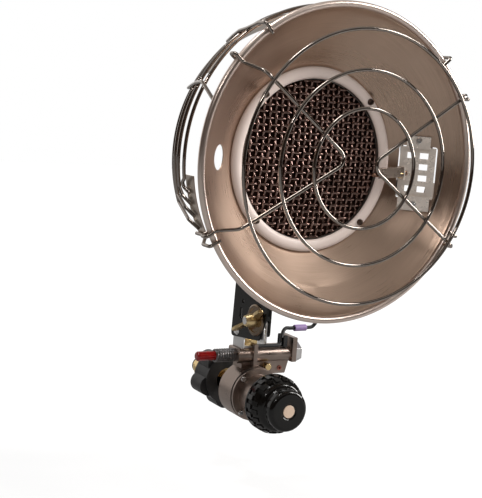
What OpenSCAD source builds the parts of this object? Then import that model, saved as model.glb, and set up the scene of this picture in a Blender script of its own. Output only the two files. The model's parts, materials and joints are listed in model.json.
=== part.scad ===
// Portable propane heater: a radiant head that tilts on a tank-top valve and regulator.
// X is right as seen from the front, the dish faces -Y, and +Z is up. Millimetres.
// The origin is on the inlet axis, inside the nose that enters the tank valve.

/* [Layout] */
// Height of the dish axis above the inlet axis
dish_height = 193; // [190:1:205]
// Distance of the rim plane ahead of the valve's centreline
rim_ahead = 108; // [106:1:120]
// Distance of the valve's centreline ahead of the inlet nose
valve_ahead = 78; // [78:1:95]
// Height of the tilt axis above the inlet axis
pivot_z = 50; // [50:1:54]
// Height of the safety valve's axis above the inlet axis
safety_z = 30; // [29:1:31]

/* [Dish] */
// Outer diameter over the rolled rim
rim_d = 230; // [222:1:240]
// Diameter of the rolled bead at the rim
bead_d = 5; // [4:0.5:6]
// Depth of the bowl from rim plane to throat
dish_depth = 40; // [34:1:46]
// Thickness of the stamped sheet
sheet_t = 0.8; // [0.6:0.1:1]

/* [Burner] */
// Diameter of the opening over the glowing screen
mouth_d = 119.2; // [116:0.4:120]
// Height of the collar's rounded crown
collar_rise = 3; // [2:0.5:4]
// Rise of the domed screen
dome_rise = 5; // [3:0.5:7]
// Depth of the burner cup's back behind the rim plane
cup_back = 62; // [58:1:64]
// Outer diameter of the mixing tube
tube_d = 18; // [16:0.5:18]
// Wall of the mixing tube
tube_wall = 1.2; // [1:0.1:1.6]
// Centreline radius of the mixing tube's elbow
elbow_r = 18; // [16:1:24]

/* [Guards] */
// Diameter of the guard wire
wire_d = 2.6; // [2.2:0.1:3]
// Centreline diameters of the three front rings
ring_ds = [191, 135.6, 83.2];
// How far the three front rings stand ahead of the rim plane
ring_leads = [27.4, 27.9, 28.4];
// Centreline diameters of the four back hoops
hoop_ds = [224, 220, 212, 202];
// How far the four back hoops lie behind the rim plane
hoop_depths = [27, 40, 53, 66];

/* [Tilt bracket] */
// Gap between the bracket's two cheeks
cheek_gap = 24.8; // [24.8:0.2:27]
// Thickness of the bracket's steel
bracket_t = 1.6; // [1.2:0.1:2]
// Radius from the pivot to the clamp stud
clamp_r = 32; // [30:1:33]
// Direction from the pivot to the clamp stud, from straight back over the top
clamp_angle = 154; // [150:1:156]
// Tilt of the head that the slot allows, face down
tilt_down = 15; // [8:1:16]
// Tilt of the head that the slot allows, face up
tilt_up = 25; // [15:1:26]
// Diameter of the pivot rivets
pivot_d = 5; // [4:0.5:6]
// Diameter of the clamp stud
stud_d = 6; // [5:0.5:6.5]
// Running clearance of a pin in its hole, on the radius
run_gap = 0.05; // [0.03:0.01:0.08]

/* [Valve] */
// Width of the valve body's upper block
block_w = 49; // [47:1:55]
// Depth of the valve body's upper block
block_d = 18; // [17:1:20]
// Height of the valve body's upper block
block_h = 12; // [12:0.5:13]
// Diameter of the safety valve's bore
safety_bore_d = 9; // [8.6:0.2:9.6]
// Diameter of the push button
button_d = 7.8; // [7.2:0.2:8.2]
// Travel of the push button
button_travel = 5; // [3:0.5:5]
// Diameter of the button's spindle
spindle_d = 3.8; // [3:0.2:4]

/* [Regulator] */
// Diameter of the regulator housing
housing_d = 44; // [43:1:46]
// Depth of the regulator housing
housing_h = 20; // [19:1:22]
// Diameter of the knob's grip drum
knob_d = 46; // [46:1:52]
// Wall of the knob's grip drum
knob_wall = 2.7; // [2:0.1:2.8]
// Number of grip blocks in one row
grip_blocks = 20; // [12:2:24]
// Diameter of the knob's front cap
cap_d = 33; // [30:1:34]
// Diameter of the pale dot on the cap
dot_d = 10; // [6:1:14]

/* [Tank connection] */
// Diameter of the inlet nose
nose_d = 14; // [13:0.5:15]
// Length of the nose's straight wall
nose_l = 10; // [8:1:12]
// Major diameter of the tank thread
thread_d = 22.4; // [21:0.1:24]
// Length of the threaded shank
thread_l = 18; // [14:1:18]
// Diameter over the hand nut's lobes
hand_nut_d = 50; // [44:1:60]
// Depth of the hand nut
hand_nut_l = 22; // [16:1:23]
// Diameter of the inlet stem
stem_d = 10; // [9:0.5:11]

/* [Hidden] */

// Places that the pieces share
valve_y = -valve_ahead;
rim_y = valve_y - rim_ahead;
gap = 0.1;

// Burner stack, as heights ahead of the rim plane
throat_d = mouth_d + 18.8;
throat_h = -dish_depth;
flange_back = throat_h - sheet_t;
gasket_t = 1;
cup_flange_front = flange_back - gasket_t - 2 * gap;
cup_t = 1;
collar_od = throat_d - 1;
collar_screw_circle_d = mouth_d + 9.6;
cup_od = mouth_d + 1.2;
cup_id = cup_od - 2 * cup_t;
screen_rim_d = cup_od + 2;
screen_t = 1;
screw_d = 3;

// Guards
bead_r = (rim_d - bead_d) / 2;
wire_gap = 0.05;
over_bead = (bead_d + wire_d) / 2 + wire_gap;
weld = 0.3;
hook_r = bead_r + over_bead + 2.2;

// Tilt bracket
cheek_in = cheek_gap / 2;
cheek_out = cheek_in + bracket_t;
ear_gap = 0.2;
ear_out = cheek_in - ear_gap;
ear_in = ear_out - bracket_t;
stud_at = [clamp_r * cos(clamp_angle), clamp_r * sin(clamp_angle)];
bracket_front = cup_back + 0.2 - rim_ahead;
washer_t = 1.5;
washer_d = 25;
wing_hub_d = 11;

// Valve
block_left = -15;
block_right = block_left + block_w;
block_bottom = safety_z - block_h / 2;
block_top = safety_z + block_h / 2;
end_flange_t = 4;
web_front = valve_y - block_d / 2 + 4;
plug_at = [12.3, 20.8];
vent_at = [7.4, 20.8];
screw_at = [25.5, 18.5];
barrel_d = 10.8;
barrel_l = 18;
barrel_floor = 2;
barrel_neck_d = 7.6;
barrel_neck_l = 4;
button_l = 18;
button_in = 2;
button_head_x = block_left - barrel_l + button_in;
poppet_x = 4.2;
armature_x = poppet_x + 8;
magnet_x = armature_x + 3 + button_travel + 0.4;

// Regulator, as distances behind the valve's centreline
housing_front = -12;
housing_back = housing_front + housing_h;
chamber_d = 28;
chamber_l = 10;
diaphragm_t = 0.8;
bonnet_flange_t = 2.4;
bonnet_front = housing_front - 2 * gap - diaphragm_t - bonnet_flange_t;
bonnet_neck_d = 33;
bonnet_tip_d = 25;
bonnet_cavity_d = 21;
neck_front = bonnet_front - 24.6;
screw_thread_d = 12;
shoulder_front = neck_front + 3;
knob_back = shoulder_front - 0.4;
knob_front = knob_back - 20;
knob_face = knob_front - 8.6;
bonnet_screw_circle_d = 38.2;
boss_d = 22;
boss_l = 10;
stem_hex_l = 7;

// Tank connection, as positions along the inlet axis
nose_back = -nose_l + 6;
shank_front = nose_back - thread_l - 0.4;
stem_front = valve_y + housing_back + boss_l;

// Lead route on the head, from the probe to the tilt axis
lead_d = 3;
lead_upper_points = [
    [86, -150, 188], [88, -140, 183], [88, -126, 168], [84, -112, 146], [76, -100, 120],
    [68, -90, 94], [64, -82, 72], [62, -79, 58], [58, -78, 51], [52, -78, 50], [44, -78, 50], [36, -78, 50]
];
// Lead route on the valve, from the tilt axis along the block to the magnet unit
lead_lower_points = [
    [35.9, -78, 50], [32, -78, 50], [29, -79, 47.5], [26.5, -81.5, 42.5], [24, -84, 38.6],
    [20, -84.6, 37.7], [10, -84.6, 37.7], [1.6, -84.6, 37.7]
];

// ---- Vector and outline helpers ----
function unit(v) = v / norm(v);
function polar(r, a, h) = [r * cos(a), r * sin(a), h];
// Points of a corner at p, between a and b, rounded to radius r
function round_corner(a, p, b, r, n = 5) =
    let (
        u = unit(a - p),
        w = unit(b - p),
        half = acos(u * w) / 2,
        c = p + unit(u + w) * r / sin(half),
        s = p + u * r / tan(half) - c,
        e = p + w * r / tan(half) - c,
        a0 = atan2(s.y, s.x),
        turn = (atan2(e.y, e.x) - a0 + 540) % 360 - 180
    )
    [for (i = [0:n]) c + r * [cos(a0 + turn * i / n), sin(a0 + turn * i / n)]];
function rounded(pts, r) =
    let (n = len(pts))
    [for (i = [0:n - 1]) each round_corner(pts[(i + n - 1) % n], pts[i], pts[(i + 1) % n], r)];

// ---- Placing helpers ----
// Local Z runs forward from the rim plane, local Y runs up
module head() {
    translate([0, rim_y, dish_height]) rotate([90, 0, 0]) children();
}
// Local Z runs backward along the inlet axis, from v behind the valve's centreline
module on_inlet(v) {
    translate([0, valve_y + v, 0]) rotate([-90, 0, 0]) children();
}
// Local Z runs to the right along the safety valve's axis
module on_safety(x) {
    translate([x, valve_y, safety_z]) rotate([0, 90, 0]) children();
}
// Local Z runs to the right along the tilt axis
module on_pivot(x) {
    translate([x, valve_y, pivot_z]) rotate([0, 90, 0]) children();
}
// Local Z runs to the right through the clamp stud
module on_stud(x) {
    translate([x, valve_y + stud_at.x, pivot_z + stud_at.y]) rotate([0, 90, 0]) children();
}
// A plate from an outline given as [distance behind the valve, height]
module side_plate(x, t, pts) {
    translate([x, valve_y, 0]) rotate([90, 0, 90]) linear_extrude(t) polygon(pts);
}
module ring(d_out, d_in, h, fn = 64) {
    difference() {
        cylinder(d = d_out, h = h, $fn = fn);
        translate([0, 0, -1]) cylinder(d = d_in, h = h + 2, $fn = fn);
    }
}
module hexagon(across, h) {
    cylinder(d = across / cos(30), h = h, $fn = 6);
}
// Pan-head screw along -Z, with its head's underside at z = 0
module pan_screw(d, l, head_d, head_h) {
    translate([0, 0, -l]) cylinder(d = d, h = l, $fn = 24);
    difference() {
        cylinder(d1 = head_d, d2 = head_d * 0.8, h = head_h, $fn = 32);
        translate([-head_d, -0.4, head_h * 0.5]) cube([2 * head_d, 0.8, head_h]);
    }
}

// ---- Wire helpers ----
// Points of the bend of radius r at p, between a and b
function bend(a, p, b, r) =
    let (
        u = unit(a - p),
        w = unit(b - p),
        half = acos(u * w) / 2,
        turn = 180 - 2 * half,
        c = p + unit(u + w) * r / sin(half),
        s = p + u * r / tan(half) - c,
        n = ceil(turn / 22)
    )
    turn < 0.5 ? [p] : [for (i = [0:n]) c + cos(turn * i / n) * s - sin(turn * i / n) * r * u];
// Wire through the points, bent at each inner point to its radius
module wire(points, radii, d) {
    last = len(points) - 1;
    path = [
        points[0],
        for (i = [1:last - 1]) each bend(points[i - 1], points[i], points[i + 1], radii[i - 1]),
        points[last]
    ];
    tube_along(path, d, 8);
}
module torus(d_mid, d_wire) {
    rotate_extrude($fn = 96) translate([d_mid / 2, 0]) circle(d = d_wire, $fn = 24);
}

// ---- Springs and leads ----
function coil_point(r, l, turns, t) = [r * cos(360 * turns * t), r * sin(360 * turns * t), l * t];
// Tube of round section along the points, whose section turns with the path without twisting
module tube_along(points, d, sides) {
    n = len(points);
    dirs = [for (i = [0:n - 1]) unit(points[min(i + 1, n - 1)] - points[max(i - 1, 0)])];
    first_up = unit(cross(dirs[0], abs(dirs[0].z) > 0.7 ? [1, 0, 0] : [0, 0, 1]));
    ups = [
        for (i = 0, up = first_up; i < n;
            i = i + 1, up = unit(up - dirs[min(i, n - 1)] * (up * dirs[min(i, n - 1)]))) up
    ];
    rings = [
        for (i = [0:n - 1])
            let (side = cross(dirs[i], ups[i]))
            [for (k = [0:sides - 1])
                points[i] + d / 2 * (cos(360 * k / sides) * ups[i] + sin(360 * k / sides) * side)]
    ];
    walls = [
        for (i = [0:n - 2], k = [0:sides - 1])
            let (a = i * sides + k, b = i * sides + (k + 1) % sides)
            each [[a, a + sides, b], [b, a + sides, b + sides]]
    ];
    start_cap = [for (k = [1:sides - 2]) [0, k, k + 1]];
    last = (n - 1) * sides;
    end_cap = [for (k = [1:sides - 2]) [last, last + k + 1, last + k]];
    polyhedron([for (r = rings) each r], concat(walls, start_cap, end_cap));
}
// Smooth points between hand-chosen ones
function smooth(p, steps = 4) = [
    for (i = [0:len(p) - 2], s = [0:steps - 1])
        let (
            t = s / steps,
            a = p[max(i - 1, 0)],
            b = p[i],
            c = p[i + 1],
            e = p[min(i + 2, len(p) - 1)]
        )
        0.5 * (2 * b + (c - a) * t + (2 * a - 5 * b + 4 * c - e) * t * t
            + (3 * b - a - 3 * c + e) * t * t * t),
    p[len(p) - 1]
];
module coil(r, l, turns, wire) {
    points = [for (i = [0:turns * 8]) coil_point(r, l, turns, i / (turns * 8))];
    echo(coil_gap = norm(coil_point(r, l, turns, 1 / turns) - coil_point(r, l, turns, 0)) - wire);
    tube_along(points, wire, 6);
}

// ---- Head ----
// Height of the bowl's front face at radius r
bowl_top_r = bead_r - bead_d / 2;
function bowl_h(r) =
    let (t = (bowl_top_r - r) / (bowl_top_r - throat_d / 2))
    -1.5 - (dish_depth - 1.5) * pow(max(0, t), 0.88);
bowl_radii = [for (i = [0:10]) bowl_top_r + (throat_d / 2 - bowl_top_r) * i / 10];

// Frame of the thermocouple window, square to the bowl at its right side
window_r = throat_d / 2 + 17;
window_up = -5;
window_lean = atan((bowl_h(window_r + 8) - bowl_h(window_r - 8)) / 16);
module at_window() {
    translate([window_r, window_up, bowl_h(window_r)]) rotate([0, -window_lean, 0]) children();
}

module reflector() {
    color("tan") head() difference() {
        union() {
            rotate_extrude($fn = 96) polygon(concat(
                [[bead_r, 0.4], [bowl_top_r + 0.2, -0.2]],
                [for (r = bowl_radii) [r, bowl_h(r)]],
                [[mouth_d / 2 + 1.8, throat_h], [mouth_d / 2 + 1.8, flange_back],
                    [throat_d / 2, flange_back]],
                [for (i = [9:-1:0]) [bowl_radii[i], bowl_h(bowl_radii[i]) - sheet_t * 1.2]],
                [[bead_r, -0.8]]
            ));
            torus(2 * bead_r, bead_d);
        }
        translate([-window_r, 0, bowl_h(window_r)]) rotate([0, window_lean, 0]) translate([0, 0, -10])
            cylinder(d = 18, h = 20, $fn = 48);
        at_window() translate([-14.5, -20, -8]) cube([29, 40, 20]);
        for (s = [-1, 1]) at_window() translate([0, s * 24, -8]) cylinder(d = 3.2, h = 20, $fn = 24);
        for (a = [45:90:315]) rotate([0, 0, a]) translate([collar_screw_circle_d / 2, 0, throat_h - 4])
            cylinder(d = screw_d + 0.2, h = 10, $fn = 24);
    }
}

module collar_ring() {
    mid = (mouth_d + collar_od) / 4;
    half = (collar_od - mouth_d) / 4;
    color("wheat") head() difference() {
        rotate_extrude($fn = 96) polygon(concat(
            [for (i = [0:12]) [mid + half * cos(15 * i), throat_h + gap + collar_rise * sin(15 * i)]],
            [for (i = [12:-1:0])
                [mid + (half - sheet_t) * cos(15 * i),
                    throat_h + gap + (collar_rise - sheet_t) * sin(15 * i)]]
        ));
        for (a = [45:90:315]) rotate([0, 0, a]) translate([collar_screw_circle_d / 2, 0, throat_h - 1])
            cylinder(d = screw_d + 0.2, h = 10, $fn = 24);
    }
}

module collar_screws() {
    color("silver") head() for (a = [45:90:315]) rotate([0, 0, a])
        translate([collar_screw_circle_d / 2, 0, throat_h + gap + collar_rise + 0.02])
            pan_screw(screw_d, collar_rise + 7, 5.2, 1.8);
}

module emitter_screen() {
    foot = flange_back - gap;
    inner_r = mouth_d / 2 - 1;
    color("saddlebrown") head() rotate_extrude($fn = 96) polygon(concat(
        [[screen_rim_d / 2, foot - screen_t], [screen_rim_d / 2, foot], [inner_r + 0.8, foot]],
        [for (i = [12:-1:0]) [inner_r * i / 12, foot + 0.2 + dome_rise * cos(90 * i / 12)]],
        [for (i = [0:12]) [inner_r * i / 12, foot + 0.2 - screen_t + dome_rise * cos(90 * i / 12)]]
    ));
}

module inner_screen() {
    color("dimgray") head() translate([0, 0, cup_flange_front - 9]) {
        ring(cup_id - 2 * gap, cup_id - 2, 7, 96);
        cylinder(d = cup_id - 1, h = 0.8, $fn = 96);
    }
}

module burner_gasket() {
    color("ivory") head() translate([0, 0, flange_back - gap - gasket_t]) difference() {
        ring(throat_d - 1.2, screen_rim_d + 0.2, gasket_t, 96);
        for (a = [45:90:315]) rotate([0, 0, a]) translate([collar_screw_circle_d / 2, 0, -1])
            cylinder(d = screw_d + 0.2, h = 4, $fn = 24);
    }
}

module burner_cup() {
    cup_l = cup_back + cup_flange_front;
    color("gray") head() difference() {
        union() {
            translate([0, 0, -cup_back]) cylinder(d = cup_od, h = cup_l, $fn = 96);
            translate([0, 0, cup_flange_front - cup_t]) cylinder(d = throat_d - 1.2, h = cup_t, $fn = 96);
        }
        translate([0, 0, -cup_back + cup_t]) cylinder(d = cup_id, h = cup_l, $fn = 96);
        translate([0, 0, -cup_back - 1]) cylinder(d = tube_d + 0.6, h = 4, $fn = 48);
        for (a = [45:90:315]) rotate([0, 0, a])
            translate([collar_screw_circle_d / 2, 0, cup_flange_front - 4])
            cylinder(d = screw_d + 0.1, h = 8, $fn = 24);
        for (a = [90:120:330]) rotate([0, 0, a]) translate([14, 0, -cup_back - 1])
            cylinder(d = screw_d + 0.1, h = 4, $fn = 24);
        for (s = [-1, 1]) translate([8 * s, -43, -cup_back - 1]) cylinder(d = screw_d + 0.1, h = 4, $fn = 24);
    }
}

// Tube centreline from the cup's back to the elbow, and from the elbow down to the mouth
module tube_path(d) {
    translate([0, rim_y + cup_back - 1.5, dish_height]) rotate([-90, 0, 0])
        cylinder(d = d, h = rim_ahead - cup_back + 1.5 - elbow_r, $fn = 48);
    translate([0, valve_y - elbow_r, dish_height - elbow_r]) rotate([90, 0, 90])
        rotate_extrude(angle = 90, $fn = 96) translate([elbow_r, 0]) circle(d = d, $fn = 48);
    translate([0, valve_y, pivot_z + 10]) cylinder(d = d, h = dish_height - elbow_r - pivot_z - 10, $fn = 48);
}
module venturi_tube() {
    bell_l = 8;
    color("dimgray") difference() {
        union() {
            tube_path(tube_d);
            translate([0, valve_y, pivot_z + 10]) cylinder(d = tube_d + 1.6, h = bell_l, $fn = 48);
            head() translate([0, 0, -cup_back - 1.9]) cylinder(d = 35, h = 1.8, $fn = 64);
        }
        tube_path(tube_d - 2 * tube_wall);
        translate([0, valve_y, pivot_z + 9]) cylinder(d = tube_d - 2 * tube_wall, h = 2, $fn = 48);
        head() translate([0, 0, -cup_back - 1.5]) cylinder(d = tube_d - 2 * tube_wall, h = 4, $fn = 48);
        for (a = [0:90:270]) translate([0, valve_y, pivot_z + 26]) rotate([90, 0, a + 45])
            cylinder(d = 5, h = 12, $fn = 24);
        head() for (a = [90:120:330]) rotate([0, 0, a]) translate([14, 0, -cup_back - 3])
            cylinder(d = screw_d + 0.2, h = 4, $fn = 24);
    }
}

module venturi_screws() {
    color("silver") head() for (a = [90:120:330]) rotate([0, 0, a]) translate([14, 0, -cup_back - 1.92])
        mirror([0, 0, 1]) pan_screw(screw_d, 6, 5.2, 1.8);
}

// ---- Tilt bracket ----
plate_tail = 9;
left_outline = [
    [plate_tail, pivot_z - 6], [plate_tail - 2, pivot_z + 52], [-22, dish_height - 40],
    [-22, dish_height - 26], [bracket_front, dish_height - 26], [bracket_front, pivot_z + 30],
    [-43, pivot_z + 17], [-35, pivot_z - 1]
];
right_outline = [
    [plate_tail, pivot_z - 6], [plate_tail - 2, pivot_z + 52], [-22, dish_height - 40],
    [-22, dish_height - 26], [bracket_front, dish_height - 26], [bracket_front, pivot_z + 66],
    [-6, pivot_z + 46], [-6, pivot_z - 6]
];
// Outline of a curved slot of half width w, with round ends, about the pivot
function slot_outline(r, w, a0, a1) = concat(
    [for (i = [0:12]) let (a = a0 + (a1 - a0) * i / 12) (r + w) * [cos(a), sin(a)]],
    [for (i = [1:7]) r * [cos(a1), sin(a1)] + w * [cos(a1 + 22.5 * i), sin(a1 + 22.5 * i)]],
    [for (i = [12:-1:0]) let (a = a0 + (a1 - a0) * i / 12) (r - w) * [cos(a), sin(a)]],
    [for (i = [1:7]) r * [cos(a0), sin(a0)] - w * [cos(a0 + 22.5 * i), sin(a0 + 22.5 * i)]]
);
// Slot in the left ear that the stud travels along
module clamp_slot() {
    half = stud_d / 2 + run_gap + 0.15;
    translate([-ear_out - 1, valve_y, pivot_z]) rotate([90, 0, 90]) linear_extrude(bracket_t + 2)
        polygon(slot_outline(clamp_r, half, clamp_angle - tilt_up - 0.5, clamp_angle + tilt_down + 0.5));
}
module burner_bracket() {
    color("black") difference() {
        union() {
            side_plate(-cheek_out, bracket_t, rounded(left_outline, 3));
            side_plate(cheek_in, bracket_t, rounded(right_outline, 3));
            translate([-cheek_out, valve_y + bracket_front, dish_height - 58])
                cube([2 * cheek_out, bracket_t, 32 - 3]);
        }
        on_pivot(-20) cylinder(d = pivot_d + 2 * run_gap, h = 40, $fn = 32);
        on_stud(-20) cylinder(d = stud_d + 0.1, h = 8, $fn = 32);
        // Holes near the back edge of the left cheek
        for (z = [12.2, 17.8]) on_pivot(-20) translate([-z, -4.4, 0]) cylinder(d = 3.5, h = 8, $fn = 24);
        on_pivot(-20) translate([-17.8, -6.15, 0]) cube([5.6, 3.5, 8]);
        on_pivot(-20) translate([-25, -6.5, 0]) cylinder(d = 3.5, h = 8, $fn = 24);
        head() for (s = [-1, 1]) translate([8 * s, -43, -cup_back - 4])
            cylinder(d = screw_d + 0.2, h = 8, $fn = 24);
    }
}

module bracket_screws() {
    color("silver") head() for (s = [-1, 1]) translate([8 * s, -43, -cup_back - bracket_t - 0.22])
        mirror([0, 0, 1]) pan_screw(screw_d, 6, 5.2, 1.8);
}

// Plated bracket on the valve, whose ears lie inside the cheeks
left_ear = concat(
    [[-8, block_top + gap], [8, block_top + gap], [8, pivot_z + 7], [-5, pivot_z + 8.5]],
    [for (i = [0:6])
        let (a = clamp_angle - tilt_up - 11 + i * (tilt_up + tilt_down + 22) / 6)
        (clamp_r + 7) * [cos(a), sin(a)] + [0, pivot_z]],
    [[-clamp_r + 6, pivot_z + 0.5], [-12, pivot_z - 4], [-8, pivot_z - 6]]
);
right_ear = [
    [-4.5, block_top + gap], [8, block_top + gap], [8, pivot_z + 7], [-4.5, pivot_z + 7]
];
module base_bracket() {
    color("silver") difference() {
        union() {
            side_plate(-ear_out, bracket_t, rounded(left_ear, 1));
            side_plate(ear_in, bracket_t, rounded(right_ear, 1));
            translate([-ear_out, valve_y - 4.5, block_top + gap]) cube([2 * ear_out, 12.5, bracket_t]);
        }
        translate([0, valve_y, block_top - 1]) cylinder(d = 7.2, h = 5, $fn = 32);
        on_pivot(-20) cylinder(d = pivot_d, h = 40, $fn = 32);
        clamp_slot();
    }
}

module pivot_rivets() {
    color("gainsboro") for (s = [-1, 1]) mirror([s > 0 ? 1 : 0, 0, 0]) on_pivot(-cheek_out - gap - 1.4) {
        cylinder(d1 = 5, d2 = 8, h = 1.4, $fn = 32);
        cylinder(d = pivot_d, h = 1.4 + gap + bracket_t * 2 + ear_gap, $fn = 32);
        translate([0, 0, 1.4 + gap + bracket_t * 2 + ear_gap]) cylinder(d = 7, h = 1.2, $fn = 32);
    }
}

module wing_stud() {
    color("silver") on_stud(-ear_in) mirror([0, 0, 1]) {
        translate([0, 0, -2.2]) cylinder(d = 12, h = 2, $fn = 32);
        translate([0, 0, -0.3]) cylinder(d = stud_d, h = 14, $fn = 32);
    }
}

module clamp_washer() {
    color("darkkhaki") on_stud(-cheek_out - gap) mirror([0, 0, 1]) difference() {
        union() {
            cylinder(d = washer_d, h = washer_t * 0.6, $fn = 64);
            translate([0, 0, washer_t * 0.6])
                cylinder(d1 = washer_d, d2 = washer_d - 3, h = washer_t * 0.4, $fn = 64);
        }
        translate([0, 0, washer_t * 0.6])
            cylinder(d1 = washer_d - 7, d2 = washer_d - 5, h = washer_t, $fn = 64);
        translate([0, 0, -1]) cylinder(d = stud_d + 0.4, h = 5, $fn = 32);
    }
}

module wing_nut() {
    wing_outline = rounded([
        [2, 0.2], [7.4, 0.2], [18, 3.2], [23, 5], [22.6, 8.8], [17, 9.2], [7, 6.5], [2, 6.5]
    ], 1.1);
    color("goldenrod") on_stud(-cheek_out - 2 * gap - washer_t * 0.6) mirror([0, 0, 1]) difference() {
        union() {
            cylinder(d = wing_hub_d, h = 4, $fn = 48);
            translate([0, 0, 4]) cylinder(d1 = wing_hub_d, d2 = wing_hub_d - 3, h = 4.5, $fn = 48);
            for (a = [60, 240]) rotate([0, 0, a]) translate([0, 1.1, 0]) rotate([90, 0, 0])
                linear_extrude(2.2) polygon(wing_outline);
        }
        translate([0, 0, -1]) cylinder(d = stud_d + 2 * run_gap, h = 20, $fn = 32);
    }
}

// ---- Guards ----
// Point between a and b, seen from the front, at radius r
function on_ring(a, b, r) =
    let (v = b - a, m = a * v, q = v * v, t = (-m + sqrt(m * m - q * (a * a - r * r))) / q)
    a + t * v;
// One leg, from its tip over the three rings, then out and round the bead
function leg(tip, ring_a, hook_a) =
    let (out = (ring_ds[0] / 2 + 7) * [cos(ring_a), sin(ring_a)])
    [
        for (i = [2:-1:0]) concat(on_ring(tip, out, ring_ds[i] / 2), ring_leads[i] - wire_d + weld),
        concat(out, ring_leads[0] - wire_d),
        polar(bead_r - 2, (ring_a + hook_a) / 2, over_bead),
        polar(hook_r, hook_a, over_bead),
        polar(hook_r, hook_a, -over_bead),
        polar(bead_r - 1.5, hook_a, -over_bead)
    ];
leg_radii = [20, 20, 20, 6, 3, 2.4, 2.4];
function reverse(v) = [for (i = [len(v) - 1:-1:0]) v[i]];
module spoke(tip, upper, lower) {
    wire(
        concat(reverse(leg(tip, upper[0], upper[1])), [concat(tip, ring_leads[2] - wire_d + 0.7)],
            leg(tip, lower[0], lower[1])),
        concat(reverse(leg_radii), [7], leg_radii), wire_d
    );
}
module front_guard() {
    color("silver") head() {
        for (i = [0:2]) translate([0, 0, ring_leads[i]]) torus(ring_ds[i], wire_d);
        spoke([-12, 5], [143.6, 143], [-155, -154]);
        spoke([6, 2.5], [33, 26.5], [-32.5, -28.8]);
    }
}

band_d = 2 * bead_r - 8;
band_t = 1;
band_front = -20;
band_back = -32;
band_angles = [187, 211];
hoop_ends = [193.3, 197.6, 202.1, 207];
hoop_knees = [188, 192, 196, 201];
module hoop(i) {
    span = 2 * hoop_knees[i] - 180;
    translate([0, 0, -hoop_depths[i]]) rotate([0, 0, 180 - hoop_knees[i]])
        rotate_extrude(angle = span, $fn = 96) translate([hoop_ds[i] / 2, 0]) circle(d = wire_d, $fn = 24);
    knee = polar(hoop_ds[i] / 2, hoop_knees[i], -hoop_depths[i]);
    middle = polar(band_d / 2 + 2.2, (hoop_knees[i] + hoop_ends[i]) / 2, band_back - 3);
    end = polar(band_d / 2 + wire_d / 2 + 0.2, hoop_ends[i], band_front - 5);
    for (s = [0, 1]) mirror([s, 0, 0]) {
        translate(knee) sphere(d = wire_d + 0.3, $fn = 24);
        wire([knee, middle, end], [3], wire_d);
    }
}
// Wire across the hoops from the rim, hooked over the bead where hooked is true, or slanted to it
module back_spoke(a, hooked, slant = 0) {
    run = [for (i = [0:3]) polar(hoop_ds[i] / 2 + wire_d - weld, a, -hoop_depths[i] - (i == 3 ? 1 : 0))];
    if (hooked) {
        wire(concat([
            polar(bead_r - 2.5, a, over_bead), polar(hook_r, a, over_bead), polar(hook_r, a, -over_bead - 3)
        ], run), [2.4, 3, 8, 8, 8], wire_d);
    } else if (slant > 0) {
        wire(concat([polar(bead_r - 1, a + slant, -over_bead)], run), [8, 8, 8], wire_d);
    } else {
        wire(concat([
            polar(bead_r - 1, a, -over_bead), polar(hook_r, a, -over_bead - 3)
        ], run), [3, 8, 8, 8], wire_d);
    }
}
module rear_guard() {
    color("silver") head() {
        for (i = [0:3]) hoop(i);
        back_spoke(153.5, false, 6);
        back_spoke(128, true);
        back_spoke(43.9, true);
        back_spoke(28, false);
        out = band_d / 2 + wire_d / 2 + 0.2;
        for (s = [0, 1]) let (a = 209.5 - 4.3 * s) mirror([s, 0, 0]) wire([
            polar(bead_r - 2.5, a, over_bead), polar(hook_r, a, over_bead),
            polar(hook_r, a, -over_bead - 3), polar(out, a, band_front + 2), polar(out, a, band_back)
        ], [2.4, 3, 3], wire_d);
    }
}

module sector(d_out, d_in, h, a0, a1) {
    rotate([0, 0, a0]) rotate_extrude(angle = a1 - a0, $fn = 96)
        translate([d_in / 2, 0]) square([(d_out - d_in) / 2, h]);
}
module hoop_bands() {
    color("tan") head() for (s = [0, 1]) mirror([s, 0, 0]) translate([0, 0, band_back])
        sector(band_d, band_d - 2 * band_t, band_front - band_back, band_angles[0], band_angles[1]);
}

module rear_deflector() {
    inset = wire_d / 2 + 0.3;
    color("tan") head() rotate([0, 0, 33]) rotate_extrude(angle = 114, $fn = 96) polygon(concat(
        [for (i = [1:3]) [hoop_ds[i] / 2 - inset, -hoop_depths[i] + (i == 1 ? 2.4 : 0)]],
        [for (i = [3:-1:1]) [hoop_ds[i] / 2 - inset - 1, -hoop_depths[i] + (i == 1 ? 2.4 : 0)]]
    ));
}

// ---- Thermocouple ----
// Upright lug that carries the probe, set where its tongue meets the sloping plate
lug_x = window_r - 13;
lug_h = bowl_h(window_r) + 3.66 - 6.4 * tan(window_lean);
module at_probe() {
    translate([lug_x + 3, window_up - 1, lug_h - 0.1]) rotate([0, -86, 4.4]) children();
}
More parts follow.
